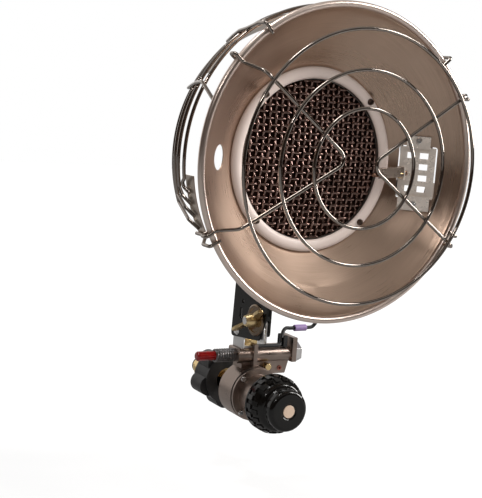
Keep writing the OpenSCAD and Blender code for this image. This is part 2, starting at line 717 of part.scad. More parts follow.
// Heights of the upper and lower lugs over the window's plane, which clear the bowl's curve
lug_z = [5.4, 3.1];
module thermocouple_bracket() {
    color("wheat") head() difference() {
        union() {
            at_window() {
                translate([-13.5, -19.2, 0.8]) cube([27, 38.4, 1]);
                translate([-12, -29, lug_z[0]]) cube([24, 11, 1]);
                translate([-12, -19.2, 0.8]) cube([24, 1, lug_z[0]]);
                translate([-9, 18, lug_z[1]]) cube([18, 9.5, 1]);
                translate([-9, 18.2, 0.8]) cube([18, 1, lug_z[1]]);
            }
            // Tongue and upright lug that carry the probe, with an arm over it
            translate([lug_x - 0.4, -11, lug_h - 3.6]) cube([7, 10, 1]);
            translate([lug_x, -11, lug_h - 3.6]) cube([1.2, 10, 7.4]);
            at_probe() translate([-3, 4.1, 2]) cube([6, 0.8, 25]);
        }
        at_window() {
            for (y = [-15, -6.5, 2, 10.5]) translate([1.5, y, -1]) cube([6.5, 4.5, 3.4]);
            for (y = [-15, 10.5]) translate([-8, y, -1]) cube([5, 4.5, 3.4]);
            for (s = [0, 1]) translate([0, 24 * (2 * s - 1), -1]) cylinder(d = 3.2, h = 8, $fn = 24);
        }
        at_probe() translate([0, 0, -4]) cylinder(d = 4.6, h = 12, $fn = 24);
    }
}
module thermocouple_rivets() {
    color("gainsboro") head() for (s = [0, 1]) at_window() translate([0, 24 * (2 * s - 1), lug_z[s] + 1.02]) {
        cylinder(d1 = 5.6, d2 = 4, h = 1.2, $fn = 32);
        translate([0, 0, -5.6]) cylinder(d = 3, h = 5.6, $fn = 24);
    }
}
// Sensing tip, held through the bracket's lug
module thermocouple_probe() {
    color("peru") head() at_probe() {
        cylinder(d = 4.2, h = 22, $fn = 32);
        translate([0, 0, 22]) cylinder(d1 = 4.2, d2 = 3, h = 8, $fn = 32);
        translate([0, 0, 30]) sphere(d = 3.1, $fn = 24);
        translate([0, 0, -1]) cylinder(d = 4.7, h = 2.4, $fn = 32);
    }
}
module thermocouple_nut() {
    color("goldenrod") head() at_probe() translate([0, 0, 3.6]) difference() {
        hexagon(6.8, 3);
        translate([0, 0, -1]) cylinder(d = 4.3, h = 5, $fn = 24);
    }
}
module thermocouple_lead_upper() {
    color("black") tube_along(smooth(lead_upper_points), lead_d, 8);
}
module lead_sleeve() {
    color("mediumpurple") translate([40, valve_y, pivot_z]) rotate([0, 90, 0])
        ring(5.4, lead_d + 0.1, 11, 24);
}
module thermocouple_lead_lower() {
    color("black") tube_along(smooth(lead_lower_points), lead_d, 8);
}
module lead_boot() {
    color("black") translate([26, valve_y - 8, block_top + gap]) difference() {
        cube([4, 10.4, 9.6]);
        translate([-1, 1.4, 0.8]) cube([6, 7.4, 11]);
    }
}

// ---- Gas train above the block ----
jet_z = block_top + gap + bracket_t + 0.02;
module jet_holder() {
    color("goldenrod") translate([0, valve_y, jet_z]) difference() {
        union() {
            hexagon(10, 5);
            cylinder(d = 7, h = 10, $fn = 32);
            translate([0, 0, -4.8]) cylinder(d = 7, h = 4.9, $fn = 32);
        }
        translate([0, 0, -7]) cylinder(d = 3, h = 14, $fn = 24);
        translate([0, 0, 6.9]) cylinder(d = 5, h = 4, $fn = 32);
    }
}
module gas_jet() {
    color("gold") translate([0, valve_y, jet_z + 7]) difference() {
        union() {
            cylinder(d = 4.96, h = 3.1, $fn = 32);
            translate([0, 0, 3.1]) hexagon(6, 2);
            translate([0, 0, 5]) cylinder(d1 = 4.4, d2 = 2.4, h = 2.4, $fn = 32);
        }
        translate([0, 0, -1]) cylinder(d = 2.4, h = 5, $fn = 24);
        translate([0, 0, 3]) cylinder(d = 0.8, h = 5, $fn = 16);
    }
}

// ---- Valve body ----
module body_blank() {
    outline = [
        [block_left, block_top], [block_right, block_top], [block_right, block_bottom + 1.5],
        [block_right - 3, block_bottom - 10], [10, block_bottom - 10],
        [10, block_bottom - 17], [-10, block_bottom - 17], [-10, block_bottom], [block_left, block_bottom]
    ];
    translate([0, valve_y + block_d / 2, 0]) rotate([90, 0, 0]) linear_extrude(block_d - 4)
        polygon(rounded(outline, 1.2));
    // Round front of the block, and the upright rib that the lead ends at
    translate([block_left, valve_y - block_d / 2 + block_h / 2 - 0.1, safety_z]) rotate([0, 90, 0])
        cylinder(d = block_h - 0.2, h = block_w, $fn = 64);
    translate([-2, valve_y - block_d / 2 - 1, 0]) rotate([90, 0, 90]) linear_extrude(3.5) polygon([
        [0, block_bottom - 10], [5.2, block_bottom - 10], [5.2, block_top - 1],
        [3.9, block_top - 1], [3.9, block_top + 3.4], [0, block_top + 3.4]
    ]);
    on_inlet(housing_front) cylinder(d = housing_d, h = housing_h, $fn = 96);
    on_inlet(housing_back - 0.1) cylinder(d = boss_d, h = boss_l + 0.1, $fn = 64);
    on_safety(block_right - 0.1) translate([-14, -10, 0]) cube([20, 20, end_flange_t + 0.1]);
}

module valve_body() {
    color("rosybrown") difference() {
        body_blank();
        // Safety valve bore, with its seat round the spindle
        on_safety(4) cylinder(d = safety_bore_d, h = block_right + 1, $fn = 48);
        on_safety(block_left - 1) cylinder(d = 5.2, h = 21, $fn = 32);
        on_safety(block_left - 1) cylinder(d = barrel_neck_d, h = 1 + barrel_neck_l + gap, $fn = 32);
        // Outlet to the jet
        translate([0, valve_y, safety_z]) cylinder(d = 3, h = block_h, $fn = 24);
        translate([0, valve_y, block_top - 3.2]) cylinder(d = 7.04, h = 6, $fn = 32);
        // Feed from the regulator chamber
        translate([8, valve_y - 1.5, 5]) cylinder(d = 3, h = safety_z - 5, $fn = 24);
        on_inlet(housing_front - 1) cylinder(d = chamber_d, h = chamber_l + 1, $fn = 64);
        on_inlet(-3) cylinder(d = 3.6, h = 30, $fn = 24);
        on_inlet(housing_back - 4) cylinder(d = 8.4, h = 30, $fn = 32);
        // Threaded sockets in the front face and under the block, and the plug's spot face
        translate([plug_at[0], web_front, plug_at[1]]) rotate([90, 0, 0]) cylinder(d = 6.4, h = 7, $fn = 32);
        translate([plug_at[0], web_front - 1, plug_at[1]]) rotate([-90, 0, 0])
            cylinder(d = 4, h = 4.4, $fn = 24);
        translate([vent_at[0], web_front - 1, vent_at[1]]) rotate([-90, 0, 0])
            cylinder(d = 2.2, h = 2.7, $fn = 24);
        translate([screw_at[0], web_front - 1, screw_at[1]]) rotate([-90, 0, 0])
            cylinder(d = 4, h = 6, $fn = 24);
        for (a = [45:90:315]) on_inlet(housing_front - 1) rotate([0, 0, a])
            translate([bonnet_screw_circle_d / 2, 0, 0]) cylinder(d = screw_d, h = 9, $fn = 24);
    }
}

module button_barrel() {
    on_left = block_left - barrel_l;
    color("gray") difference() {
        union() {
            on_safety(on_left) cylinder(d = barrel_d - 1, h = barrel_l, $fn = 48);
            for (i = [0:6]) on_safety(on_left + 2.2 * i + 0.6) cylinder(d = barrel_d, h = 1.1, $fn = 48);
            on_safety(block_left - 2) cylinder(d = barrel_d, h = 2, $fn = 48);
            on_safety(block_left - 0.1) cylinder(d = barrel_neck_d, h = barrel_neck_l + 0.1, $fn = 32);
        }
        on_safety(on_left - 1) cylinder(d = button_d + 0.5, h = barrel_l + 1 - barrel_floor, $fn = 48);
        on_safety(on_left) cylinder(d = spindle_d + 2 * run_gap, h = barrel_l + barrel_neck_l + 2, $fn = 32);
    }
}
module push_button() {
    color("firebrick") difference() {
        union() {
            on_safety(button_head_x - button_l + 1.2) cylinder(d = button_d, h = button_l - 1.2, $fn = 48);
            on_safety(button_head_x - button_l)
                cylinder(d1 = button_d - 2.4, d2 = button_d, h = 1.2, $fn = 48);
        }
        on_safety(button_head_x - 6) cylinder(d = spindle_d, h = 8, $fn = 32);
    }
}
module button_spindle() {
    color("silver") on_safety(button_head_x - 6)
        cylinder(d = spindle_d, h = poppet_x - 0.1 - button_head_x + 6, $fn = 32);
}
module button_spring() {
    l = block_left - barrel_floor - button_head_x - 1;
    color("silver") on_safety(button_head_x + 0.5) coil((spindle_d + button_d) / 4 + 0.1, l, 7, 0.7);
}
module safety_poppet() {
    color("silver") on_safety(poppet_x) {
        cylinder(d = safety_bore_d - 1.2, h = 2.4, $fn = 32);
        cylinder(d = 2.4, h = 8.1, $fn = 24);
        translate([0, 0, 8]) cylinder(d = 5, h = 3, $fn = 32);
    }
}
module poppet_spring() {
    color("silver") on_safety(poppet_x + 2.9) coil(3.4, magnet_x - poppet_x - 3.4, 5, 0.7);
}
module magnet_unit() {
    color("silver") on_safety(magnet_x) {
        cylinder(d = safety_bore_d - 0.1, h = block_right + end_flange_t - magnet_x, $fn = 48);
        cylinder(d = 4, h = block_right + end_flange_t - magnet_x + 5, $fn = 32);
    }
}
module magnet_nut() {
    color("silver") on_safety(block_right + end_flange_t + gap) difference() {
        hexagon(14, 7);
        translate([0, 0, -1]) cylinder(d = 4.1, h = 6.2, $fn = 32);
    }
}
module test_plug() {
    color("goldenrod") translate([plug_at[0], web_front, plug_at[1]]) rotate([90, 0, 0]) {
        translate([0, 0, 0.05]) hexagon(5.2, 5);
        translate([0, 0, -3.2]) cylinder(d = 3.98, h = 3.3, $fn = 24);
    }
}
module set_screw() {
    color("brown") translate([screw_at[0], web_front, screw_at[1]]) rotate([90, 0, 0]) difference() {
        translate([0, 0, -4.5]) cylinder(d = 3.98, h = 5.2, $fn = 24);
        translate([0, 0, -1.2]) hexagon(2, 3);
    }
}
// ---- Regulator ----
module regulator_bonnet() {
    color("gray") difference() {
        union() {
            on_inlet(bonnet_front) cylinder(d = housing_d - 0.8, h = bonnet_flange_t, $fn = 96);
            on_inlet(shoulder_front)
                cylinder(d = bonnet_neck_d, h = bonnet_front - shoulder_front + 0.1, $fn = 64);
            on_inlet(neck_front) cylinder(d = bonnet_tip_d, h = 4, $fn = 64);
        }
        on_inlet(neck_front + 8) cylinder(d = bonnet_cavity_d, h = 40, $fn = 48);
        on_inlet(neck_front - 1) cylinder(d = screw_thread_d + 2 * run_gap, h = 12, $fn = 48);
        for (a = [45:90:315]) on_inlet(bonnet_front - 1) rotate([0, 0, a])
            translate([bonnet_screw_circle_d / 2, 0, 0]) cylinder(d = screw_d + 0.2, h = 9, $fn = 24);
    }
}
module bonnet_screws() {
    color("silver") for (a = [45:90:315]) on_inlet(bonnet_front - 0.02) rotate([0, 0, a])
        translate([bonnet_screw_circle_d / 2, 0, 0]) mirror([0, 0, 1]) pan_screw(screw_d - 0.04, 10, 4.6, 2);
}
module diaphragm() {
    color("black") on_inlet(housing_front - gap - diaphragm_t) difference() {
        cylinder(d = housing_d - 1.2, h = diaphragm_t, $fn = 96);
        translate([0, 0, -1]) cylinder(d = 2.3, h = 4, $fn = 24);
        for (a = [45:90:315]) rotate([0, 0, a]) translate([bonnet_screw_circle_d / 2, 0, -1])
            cylinder(d = screw_d + 0.2, h = 4, $fn = 24);
    }
}
module diaphragm_plate() {
    color("silver") on_inlet(housing_front - gap - diaphragm_t - 1.22) ring(18, 2.22, 1.2, 48);
}
module regulator_poppet() {
    stem_front = housing_front - gap - diaphragm_t - 1.22;
    orifice_back = housing_back - 4;
    color("goldenrod") {
        on_inlet(stem_front) cylinder(d = 2.2, h = orifice_back - stem_front + 1, $fn = 24);
        on_inlet(orifice_back + 0.6) cylinder(d = 6.4, h = 2.4, $fn = 32);
    }
}
spring_seat_front = neck_front + 11;
module spring_seat() {
    color("silver") on_inlet(spring_seat_front) cylinder(d = bonnet_cavity_d - 1, h = 2.4, $fn = 48);
}
module regulator_spring() {
    first = spring_seat_front + 2.4 + 0.5;
    last = housing_front - gap - diaphragm_t - 1.22 - 0.55;
    color("silver") on_inlet(first) coil(7, last - first, 4, 0.9);
}
module adjusting_screw() {
    color("silver") on_inlet(knob_front + 3.6)
        cylinder(d = screw_thread_d, h = spring_seat_front - knob_front - 3.7, $fn = 48);
}

// ---- Knob ----
// Half section of the drum, without its grip blocks, as radius and distance ahead of its back
module knob_outline() {
    r = knob_d / 2 - 1;
    waist = 16.2;
    polygon(concat(
        [[0, -20], [waist - 0.8, -20]],
        [for (i = [0:6]) [waist + (r - waist) * sin(15 * i), -5 - 13.2 * cos(15 * i)]],
        [[r, 0], [0, 0]]
    ));
}
module knob() {
    cavity_d = knob_d - 2 * knob_wall;
    color("black") difference() {
        on_inlet(knob_back) {
            rotate_extrude($fn = 96) knob_outline();
            // Grip blocks: one row on the drum, and one between them on its shoulder
            for (i = [0:grip_blocks - 1]) rotate([0, 0, i * 360 / grip_blocks]) {
                translate([knob_d / 2 - 3, -1.9, -8.2]) cube([3, 3.8, 5.8]);
                rotate([0, 0, 180 / grip_blocks]) translate([knob_d / 2 - 2.8, 0, -14.6]) rotate([0, 17, 0])
                    translate([-2.2, -1.8, 0]) cube([3.1, 3.6, 5.6]);
            }
            // Plain band at the back
            translate([0, 0, -1.6]) ring(knob_d, cavity_d + 1, 1.6, 96);
        }
        on_inlet(knob_back - 5.6) cylinder(d = cavity_d, h = 7, $fn = 64);
        on_inlet(knob_front + 3.5) cylinder(d = screw_thread_d, h = 40, $fn = 48);
        on_inlet(knob_front - 1) cylinder(d = 18, h = 4, $fn = 48);
    }
}
module knob_cap() {
    r = cap_d / 2;
    color("black") difference() {
        on_inlet(knob_face) rotate_extrude($fn = 96) polygon(concat(
            [[0, 0.6], [6, 0.6], [6.6, 0]],
            [for (i = [0:6]) [r - 3.4 + 3.4 * sin(15 * i), 3.4 - 3.4 * cos(15 * i)]],
            [[r, 7.4], [r - 1.2, 8.5], [8.9, 8.5], [8.9, 11], [0, 11]]
        ));
        on_inlet(knob_face - 1) cylinder(d = dot_d + 0.1, h = 3, $fn = 48);
    }
}
module knob_dot() {
    color("bisque") on_inlet(knob_face + 0.3) cylinder(d = dot_d, h = 1.6, $fn = 48);
}

// ---- Inlet and tank nut ----
module inlet_stem() {
    color("goldenrod") difference() {
        union() {
            translate([0, stem_front - 8, 0]) rotate([-90, 0, 0]) cylinder(d = 8.36, h = 8.1, $fn = 32);
            translate([0, stem_front + 0.05, 0]) rotate([-90, 0, 0]) hexagon(16, stem_hex_l);
            translate([0, stem_front, 0]) rotate([-90, 0, 0])
                cylinder(d = stem_d, h = nose_back - stem_front + 1, $fn = 48);
            translate([0, nose_back, 0]) rotate([-90, 0, 0]) cylinder(d = nose_d, h = nose_l, $fn = 64);
            translate([0, nose_back + nose_l, 0]) rotate([-90, 0, 0])
                cylinder(d1 = nose_d - 2.4, d2 = nose_d - 5, h = 3, $fn = 64);
        }
        translate([0, stem_front - 9, 0]) rotate([-90, 0, 0])
            cylinder(d = 3, h = nose_back + nose_l + 20 - stem_front, $fn = 24);
        translate([0, nose_back + nose_l - 5, 0]) rotate([-90, 0, 0]) cylinder(d = 6, h = 20, $fn = 32);
    }
}
module nose_seal() {
    color("black") translate([0, nose_back + nose_l + 0.05, 0]) rotate([-90, 0, 0])
        ring(nose_d - 0.4, nose_d - 2.3, 2.2, 48);
}
module inlet_filter() {
    color("goldenrod") translate([0, nose_back + nose_l - 4.9, 0]) rotate([-90, 0, 0])
        cylinder(d = 5.96, h = 3, $fn = 32);
}
nut_back = shank_front;
nut_front = nut_back - hand_nut_l;
module hand_nut() {
    lobes = 5;
    core_r = hand_nut_d / 2 - 5;
    color("black") translate([0, nut_front, 0]) rotate([-90, 0, 0]) difference() {
        union() {
            cylinder(r = core_r, h = hand_nut_l, $fn = 64);
            for (i = [0:lobes - 1]) rotate([0, 0, 360 * i / lobes + 90]) {
                translate([core_r - 3.5, 0, 2]) cylinder(r = 8.5, h = hand_nut_l - 4, $fn = 48);
            }
            translate([0, 0, hand_nut_l - 0.1]) cylinder(d = thread_d + 6, h = 2, $fn = 64);
        }
        translate([0, 0, -1]) cylinder(d = 20, h = 7, $fn = 48);
        translate([0, 0, 5.9]) hexagon(17.3, hand_nut_l);
    }
}
module threaded_shank() {
    color("goldenrod") difference() {
        union() {
            translate([0, nut_front + 6, 0]) rotate([-90, 0, 0]) hexagon(17.2, hand_nut_l - 3.5);
            translate([0, nut_back + 2, 0]) rotate([-90, 0, 0])
                cylinder(d = thread_d, h = thread_l - 2, $fn = 64);
        }
        translate([0, nut_front, 0]) rotate([-90, 0, 0])
            cylinder(d = stem_d + 0.4, h = hand_nut_l + thread_l + 2, $fn = 48);
    }
}

reflector();
collar_ring();
collar_screws();
emitter_screen();
inner_screen();
burner_gasket();
burner_cup();
venturi_tube();
venturi_screws();
burner_bracket();
bracket_screws();
front_guard();
rear_guard();
hoop_bands();
rear_deflector();
thermocouple_bracket();
thermocouple_rivets();
thermocouple_probe();
thermocouple_nut();
thermocouple_lead_upper();
lead_sleeve();
base_bracket();
pivot_rivets();
wing_stud();
clamp_washer();
wing_nut();
jet_holder();
gas_jet();
valve_body();
button_barrel();
push_button();
button_spindle();
button_spring();
safety_poppet();
poppet_spring();
magnet_unit();
magnet_nut();
test_plug();
set_screw();
thermocouple_lead_lower();
lead_boot();
regulator_bonnet();
bonnet_screws();
diaphragm();
diaphragm_plate();
regulator_poppet();
regulator_spring();
spring_seat();
adjusting_screw();
knob();
knob_cap();
knob_dot();
inlet_stem();
nose_seal();
inlet_filter();
hand_nut();
threaded_shank();
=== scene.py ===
import json
import math

import bmesh
import bpy
from mathutils import Matrix, Vector


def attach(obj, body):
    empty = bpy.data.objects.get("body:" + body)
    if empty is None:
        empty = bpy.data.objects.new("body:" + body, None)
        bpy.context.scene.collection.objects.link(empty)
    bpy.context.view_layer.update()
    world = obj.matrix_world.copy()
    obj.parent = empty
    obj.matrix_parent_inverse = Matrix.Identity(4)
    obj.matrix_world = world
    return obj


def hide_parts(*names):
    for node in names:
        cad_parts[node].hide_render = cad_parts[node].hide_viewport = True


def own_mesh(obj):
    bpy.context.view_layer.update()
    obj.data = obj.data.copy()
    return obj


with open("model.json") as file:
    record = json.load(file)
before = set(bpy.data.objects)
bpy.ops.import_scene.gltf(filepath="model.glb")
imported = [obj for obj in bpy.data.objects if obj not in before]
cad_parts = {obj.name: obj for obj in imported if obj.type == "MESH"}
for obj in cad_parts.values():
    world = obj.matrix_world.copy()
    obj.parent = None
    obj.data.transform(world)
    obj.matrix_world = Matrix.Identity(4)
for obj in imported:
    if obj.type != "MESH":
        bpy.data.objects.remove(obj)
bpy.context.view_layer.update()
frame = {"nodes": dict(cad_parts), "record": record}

# ---------------------------------------------------------------------------
# Sizes of the heater, in metres, as the solids have them
# ---------------------------------------------------------------------------
RIM_Y = -0.186          # rim plane of the dish
DISH_Z = 0.193          # height of the dish axis
BEAD_R = 0.1125         # rolled rim, to the middle of its bead
BEAD_D = 0.005
BOWL_R = 0.110          # bowl at the rim and at the throat
BOWL_H = -0.0015
BOWL_CURVE = 0.88       # 1 would be a cone
THROAT_R = 0.069
THROAT_H = -0.040
SHEET = 0.0008          # thickness of the pressed sheet
MOUTH_R = 0.0596        # opening over the screen
SCREEN_H = -0.0407      # foot of the screen's dome
SCREEN_RISE = 0.005
WIRE_D = 0.0026         # guard wire
RING_R = (0.0955, 0.0678, 0.0416)           # front rings, from the outer one
RING_H = (0.0274, 0.0279, 0.0284)
HOOP_R = (0.112, 0.110, 0.106, 0.101)       # back hoops, from the front one
HOOP_H = (-0.027, -0.040, -0.053, -0.066)
HOOK_R = 0.11855        # outside of the hooks that grip the rim's bead
OVER_BEAD = 0.00385     # from the rim plane to a wire that lies on the bead

BODY_OF = {n: b for b, nodes in frame["record"]["behaviour"]["bodies"].items() for n in nodes}
SLOT_OF = {s["node"]: s["material_slot"] for s in frame["record"]["subparts"]}


def dish(x, up, ahead):
    """A point given from the dish axis: right, up and ahead of the rim plane."""
    return Vector((x, RIM_Y - ahead, DISH_Z + up))


def around(radius, degrees, ahead):
    a = math.radians(degrees)
    return dish(radius * math.cos(a), radius * math.sin(a), ahead)


def bowl_h(r):
    """Place of the bowl's inside, ahead of the rim plane, at a radius."""
    t = max(0.0, (BOWL_R - r) / (BOWL_R - THROAT_R))
    return BOWL_H + (THROAT_H - BOWL_H) * t ** BOWL_CURVE


# ---------------------------------------------------------------------------
# Finishes
# ---------------------------------------------------------------------------
def add(nt, kind, x=0, y=0, **props):
    n = nt.nodes.new(kind)
    n.location = (x, y)
    for k, v in props.items():
        setattr(n, k, v)
    return n


def new_finish(name):
    m = bpy.data.materials.new(name)
    m.use_nodes = True
    nt = m.node_tree
    nt.nodes.clear()
    out = add(nt, "ShaderNodeOutputMaterial", 900)
    bsdf = add(nt, "ShaderNodeBsdfPrincipled", 600)
    nt.links.new(bsdf.outputs[0], out.inputs[0])
    place = add(nt, "ShaderNodeTexCoord", -900)
    return m, nt, bsdf, place.outputs["Object"]


def noise(nt, vector, scale, detail=3.0, rough=0.5, x=-500, y=0):
    n = add(nt, "ShaderNodeTexNoise", x, y)
    n.inputs["Scale"].default_value = scale
    n.inputs["Detail"].default_value = detail
    n.inputs["Roughness"].default_value = rough
    nt.links.new(vector, n.inputs["Vector"])
    return n.outputs["Fac"]


def ramp(nt, fac, stops, x=-200, y=0):
    n = add(nt, "ShaderNodeValToRGB", x, y)
    e = n.color_ramp.elements
    while len(e) > 1:
        e.remove(e[-1])
    e[0].position, e[0].color = stops[0][0], (*stops[0][1], 1)
    for p, c in stops[1:]:
        s = e.new(p)
        s.color = (*c, 1)
    nt.links.new(fac, n.inputs["Fac"])
    return n.outputs["Color"]


def grey(v):
    return (v, v, v)


def shade(c, k):
    return tuple(min(1.0, v * k) for v in c)


def maths(nt, op, a, b=None, x=-700, y=0):
    n = add(nt, "ShaderNodeMath", x, y, operation=op)
    for i, v in enumerate((a, b)):
        if v is None:
            continue
        if isinstance(v, (int, float)):
            n.inputs[i].default_value = v
        else:
            nt.links.new(v, n.inputs[i])
    return n.outputs[0]


def stretched(nt, place, scale, x=-700, y=0):
    n = add(nt, "ShaderNodeMapping", x, y)
    n.inputs["Scale"].default_value = scale
    nt.links.new(place, n.inputs["Vector"])
    return n.outputs[0]


def bump(nt, bsdf, height, strength, distance, x=350, y=-300):
    n = add(nt, "ShaderNodeBump", x, y)
    n.inputs["Strength"].default_value = strength
    n.inputs["Distance"].default_value = distance
    nt.links.new(height, n.inputs["Height"])
    nt.links.new(n.outputs[0], bsdf.inputs["Normal"])


SMOOTHEST = 0.02        # least roughness of any patch


def finish(name, colour, rough, metal=0.0, spread=0.12, patch=60, grain=900, depth=0.00003,
           strength=0.25, rough_spread=0.08, stretch=(1, 1, 1), specular=0.5):
    """A finish whose colour and gloss vary in patches, with a fine surface grain."""
    m, nt, bsdf, place = new_finish(name)
    where = stretched(nt, place, stretch)
    patches = noise(nt, where, patch, 4.0, 0.6, y=200)
    tone = ramp(nt, patches, [(0.3, shade(colour, 1 - spread)), (0.7, shade(colour, 1 + spread))], y=200)
    nt.links.new(tone, bsdf.inputs["Base Color"])
    fine = noise(nt, where, grain, 2.0, 0.5, y=-200)
    smooth, worn = max(SMOOTHEST, rough - rough_spread), rough + rough_spread
    gloss = ramp(nt, patches, [(0.3, grey(smooth)), (0.7, grey(worn))], y=-50)
    nt.links.new(gloss, bsdf.inputs["Roughness"])
    bsdf.inputs["Metallic"].default_value = metal
    bsdf.inputs["Specular IOR Level"].default_value = specular
    bump(nt, bsdf, fine, strength, depth)
    return m


LINES_ROUND = 2.2       # how often a polishing line changes round the axis, a radian
LINE_SHARE = 0.45       # of the lines in the sheet's tone; broad patches give the rest
LINE_DEPTH = 0.00004


def spun_steel(name, colour, rough, rings=2600, spread=0.10, tint=None, metal=1.0):
    """Satin sheet, polished round the dish axis, so that its fine lines run in circles."""
    m, nt, bsdf, place = new_finish(name)
    axis = add(nt, "ShaderNodeSeparateXYZ", -850, 200)
    nt.links.new(place, axis.inputs[0])
    up = maths(nt, "SUBTRACT", axis.outputs["Z"], DISH_Z, x=-700, y=250)
    r2 = maths(nt, "ADD", maths(nt, "MULTIPLY", axis.outputs["X"], axis.outputs["X"], y=400),
               maths(nt, "MULTIPLY", up, up, y=300), x=-600, y=350)
    radius = maths(nt, "SQRT", r2, x=-500, y=350)
    turn = maths(nt, "ARCTAN2", up, axis.outputs["X"], x=-600, y=200)
    swirl = add(nt, "ShaderNodeCombineXYZ", -400, 300)
    nt.links.new(maths(nt, "MULTIPLY", radius, rings, x=-450, y=420), swirl.inputs["X"])
    nt.links.new(maths(nt, "MULTIPLY", turn, LINES_ROUND, x=-450, y=220), swirl.inputs["Y"])
    lines = noise(nt, swirl.outputs[0], 1.0, 4.0, 0.65, x=-250, y=300)
    patches = noise(nt, place, 14, 3.0, 0.55, x=-250, y=-100)
    mixed = maths(nt, "ADD", maths(nt, "MULTIPLY", lines, LINE_SHARE, x=-100, y=300),
                  maths(nt, "MULTIPLY", patches, 1 - LINE_SHARE, x=-100, y=100), x=0, y=200)
    low, high = tint or shade(colour, 1 - spread), shade(colour, 1 + spread)
    nt.links.new(ramp(nt, mixed, [(0.32, low), (0.68, high)], x=200, y=200), bsdf.inputs["Base Color"])
    worn = ramp(nt, mixed, [(0.3, grey(rough - 0.06)), (0.7, grey(rough + 0.07))], x=200, y=0)
    nt.links.new(worn, bsdf.inputs["Roughness"])
    bsdf.inputs["Metallic"].default_value = metal
    bsdf.inputs["Anisotropic"].default_value = 0.3
    bump(nt, bsdf, lines, 0.35, LINE_DEPTH)
    return m


steel_dish = spun_steel("spun_steel_dish", (0.58, 0.43, 0.335), 0.29, tint=(0.46, 0.33, 0.25))
# Painted light: the collar's pressed steel is coloured near white and given no metal, so that the ring
# shows as brightly lit
painted_light_collar = spun_steel("painted_light_matte_collar", (0.93, 0.79, 0.72), 0.38, rings=1800, spread=0.03, metal=0.0)
steel_rim = spun_steel("rolled_rim_steel", (0.74, 0.62, 0.55), 0.30, rings=900)
steel_cup = spun_steel("burner_cup_steel", (0.46, 0.42, 0.40), 0.34, rings=1500)
chrome_wire = finish("bright_guard_wire", (0.32, 0.28, 0.25), 0.07, 1.0, spread=0.05, patch=160, grain=2500,
                     depth=0.00001, rough_spread=0.04)
hot_wire = finish("heat_darkened_wire", (0.27, 0.18, 0.155), 0.18, 1.0, spread=0.45, patch=90, grain=2200,
                  depth=0.00003, rough_spread=0.10)
# Near-black heat-darkened plate; on the sheet close behind the weave it is painted shade
hot_plate_and_shade = finish("heat_darkened_plate_and_shade", (0.030, 0.014, 0.010), 0.6, 1.0, spread=0.4, patch=45, grain=1500,
                   depth=0.00004, rough_spread=0.1)
black_gloss = finish("black_gloss_paint", (0.006, 0.005, 0.004), 0.20, 0.0, spread=0.2, patch=30,
                     grain=700, depth=0.00002, strength=0.15, specular=0.25)
black_moulded = finish("black_gloss_moulding", (0.004, 0.0035, 0.003), 0.15, 0.0, spread=0.25, patch=80,
                       grain=1600, depth=0.00002, strength=0.2, specular=0.4)
black_matte = finish("black_matte_moulding", (0.010, 0.009, 0.009), 0.45, 0.0, spread=0.2, patch=120,
                     grain=2200, depth=0.00004, strength=0.4)
black_rubber = finish("black_rubber", (0.016, 0.016, 0.017), 0.62, 0.0, spread=0.2, patch=150, grain=2600,
                      depth=0.00003, strength=0.3)
tan_satin = finish("tan_satin_steel", (0.62, 0.54, 0.47), 0.34, 1.0, spread=0.12, patch=25, grain=1800,
                   depth=0.00002, stretch=(1, 3, 1))
arm_satin = finish("warm_satin_arm", (0.52, 0.42, 0.35), 0.30, 0.9, spread=0.12, patch=90, grain=1800,
                   depth=0.00002)
pale_satin = finish("pale_satin_steel", (0.90, 0.82, 0.74), 0.26, 0.35, spread=0.08, patch=90, grain=1800,
                    depth=0.00002)
zinc_bright = finish("bright_zinc", (0.76, 0.75, 0.74), 0.24, 1.0, spread=0.08, patch=140, grain=1600,
                     depth=0.00002)
zinc_satin = finish("satin_zinc", (0.70, 0.69, 0.68), 0.36, 1.0, spread=0.10, patch=70, grain=1400,
                    depth=0.00003)
cast_alloy = finish("die_cast_alloy", (0.32, 0.255, 0.22), 0.34, 1.0, spread=0.16, patch=70, grain=1300,
                    depth=0.00008, strength=0.45, rough_spread=0.10)
dark_alloy = finish("dark_turned_alloy", (0.22, 0.21, 0.21), 0.34, 1.0, spread=0.2, patch=120, grain=1300,
                    depth=0.00003)
dark_tube = finish("dark_satin_tube", (0.20, 0.19, 0.18), 0.36, 1.0, spread=0.2, patch=40, grain=1300,
                   depth=0.00003, stretch=(1, 1, 0.2))
brass = finish("machined_brass", (0.80, 0.60, 0.30), 0.24, 1.0, spread=0.12, patch=110, grain=1500,
               depth=0.00002)
brass_cast = finish("cast_brass", (0.78, 0.60, 0.32), 0.30, 1.0, spread=0.16, patch=90, grain=1100,
                    depth=0.00006, strength=0.4)
stained_copper = finish("heat_stained_copper", (0.34, 0.20, 0.14), 0.24, 1.0, spread=0.35, patch=120,
                        grain=1500, depth=0.00002)
dark_screw = finish("heat_darkened_screw", (0.14, 0.10, 0.08), 0.35, 1.0, spread=0.3, patch=200, grain=1500,
                    depth=0.00002)
fibre = finish("pale_fibre", (0.72, 0.69, 0.62), 0.85, 0.0, spread=0.12, patch=200, grain=1800,
               depth=0.0001, strength=0.6)
dark_washer = finish("dark_polished_washer", (0.20, 0.145, 0.10), 0.16, 1.0, spread=0.25, patch=90,
                     grain=1500, depth=0.00002)
beige_dot = finish("beige_plastic", (0.66, 0.50, 0.38), 0.42, 0.0, spread=0.06, patch=150, grain=1800,
                   depth=0.00001)
violet_sleeve = finish("violet_sleeve", (0.30, 0.20, 0.42), 0.45, 0.0, spread=0.15, patch=200, grain=1800,
                       depth=0.00003)
brown_seal = finish("sealed_brown_screw", (0.26, 0.08, 0.05), 0.4, 0.0, spread=0.2, patch=200, grain=1500,
                    depth=0.00003)


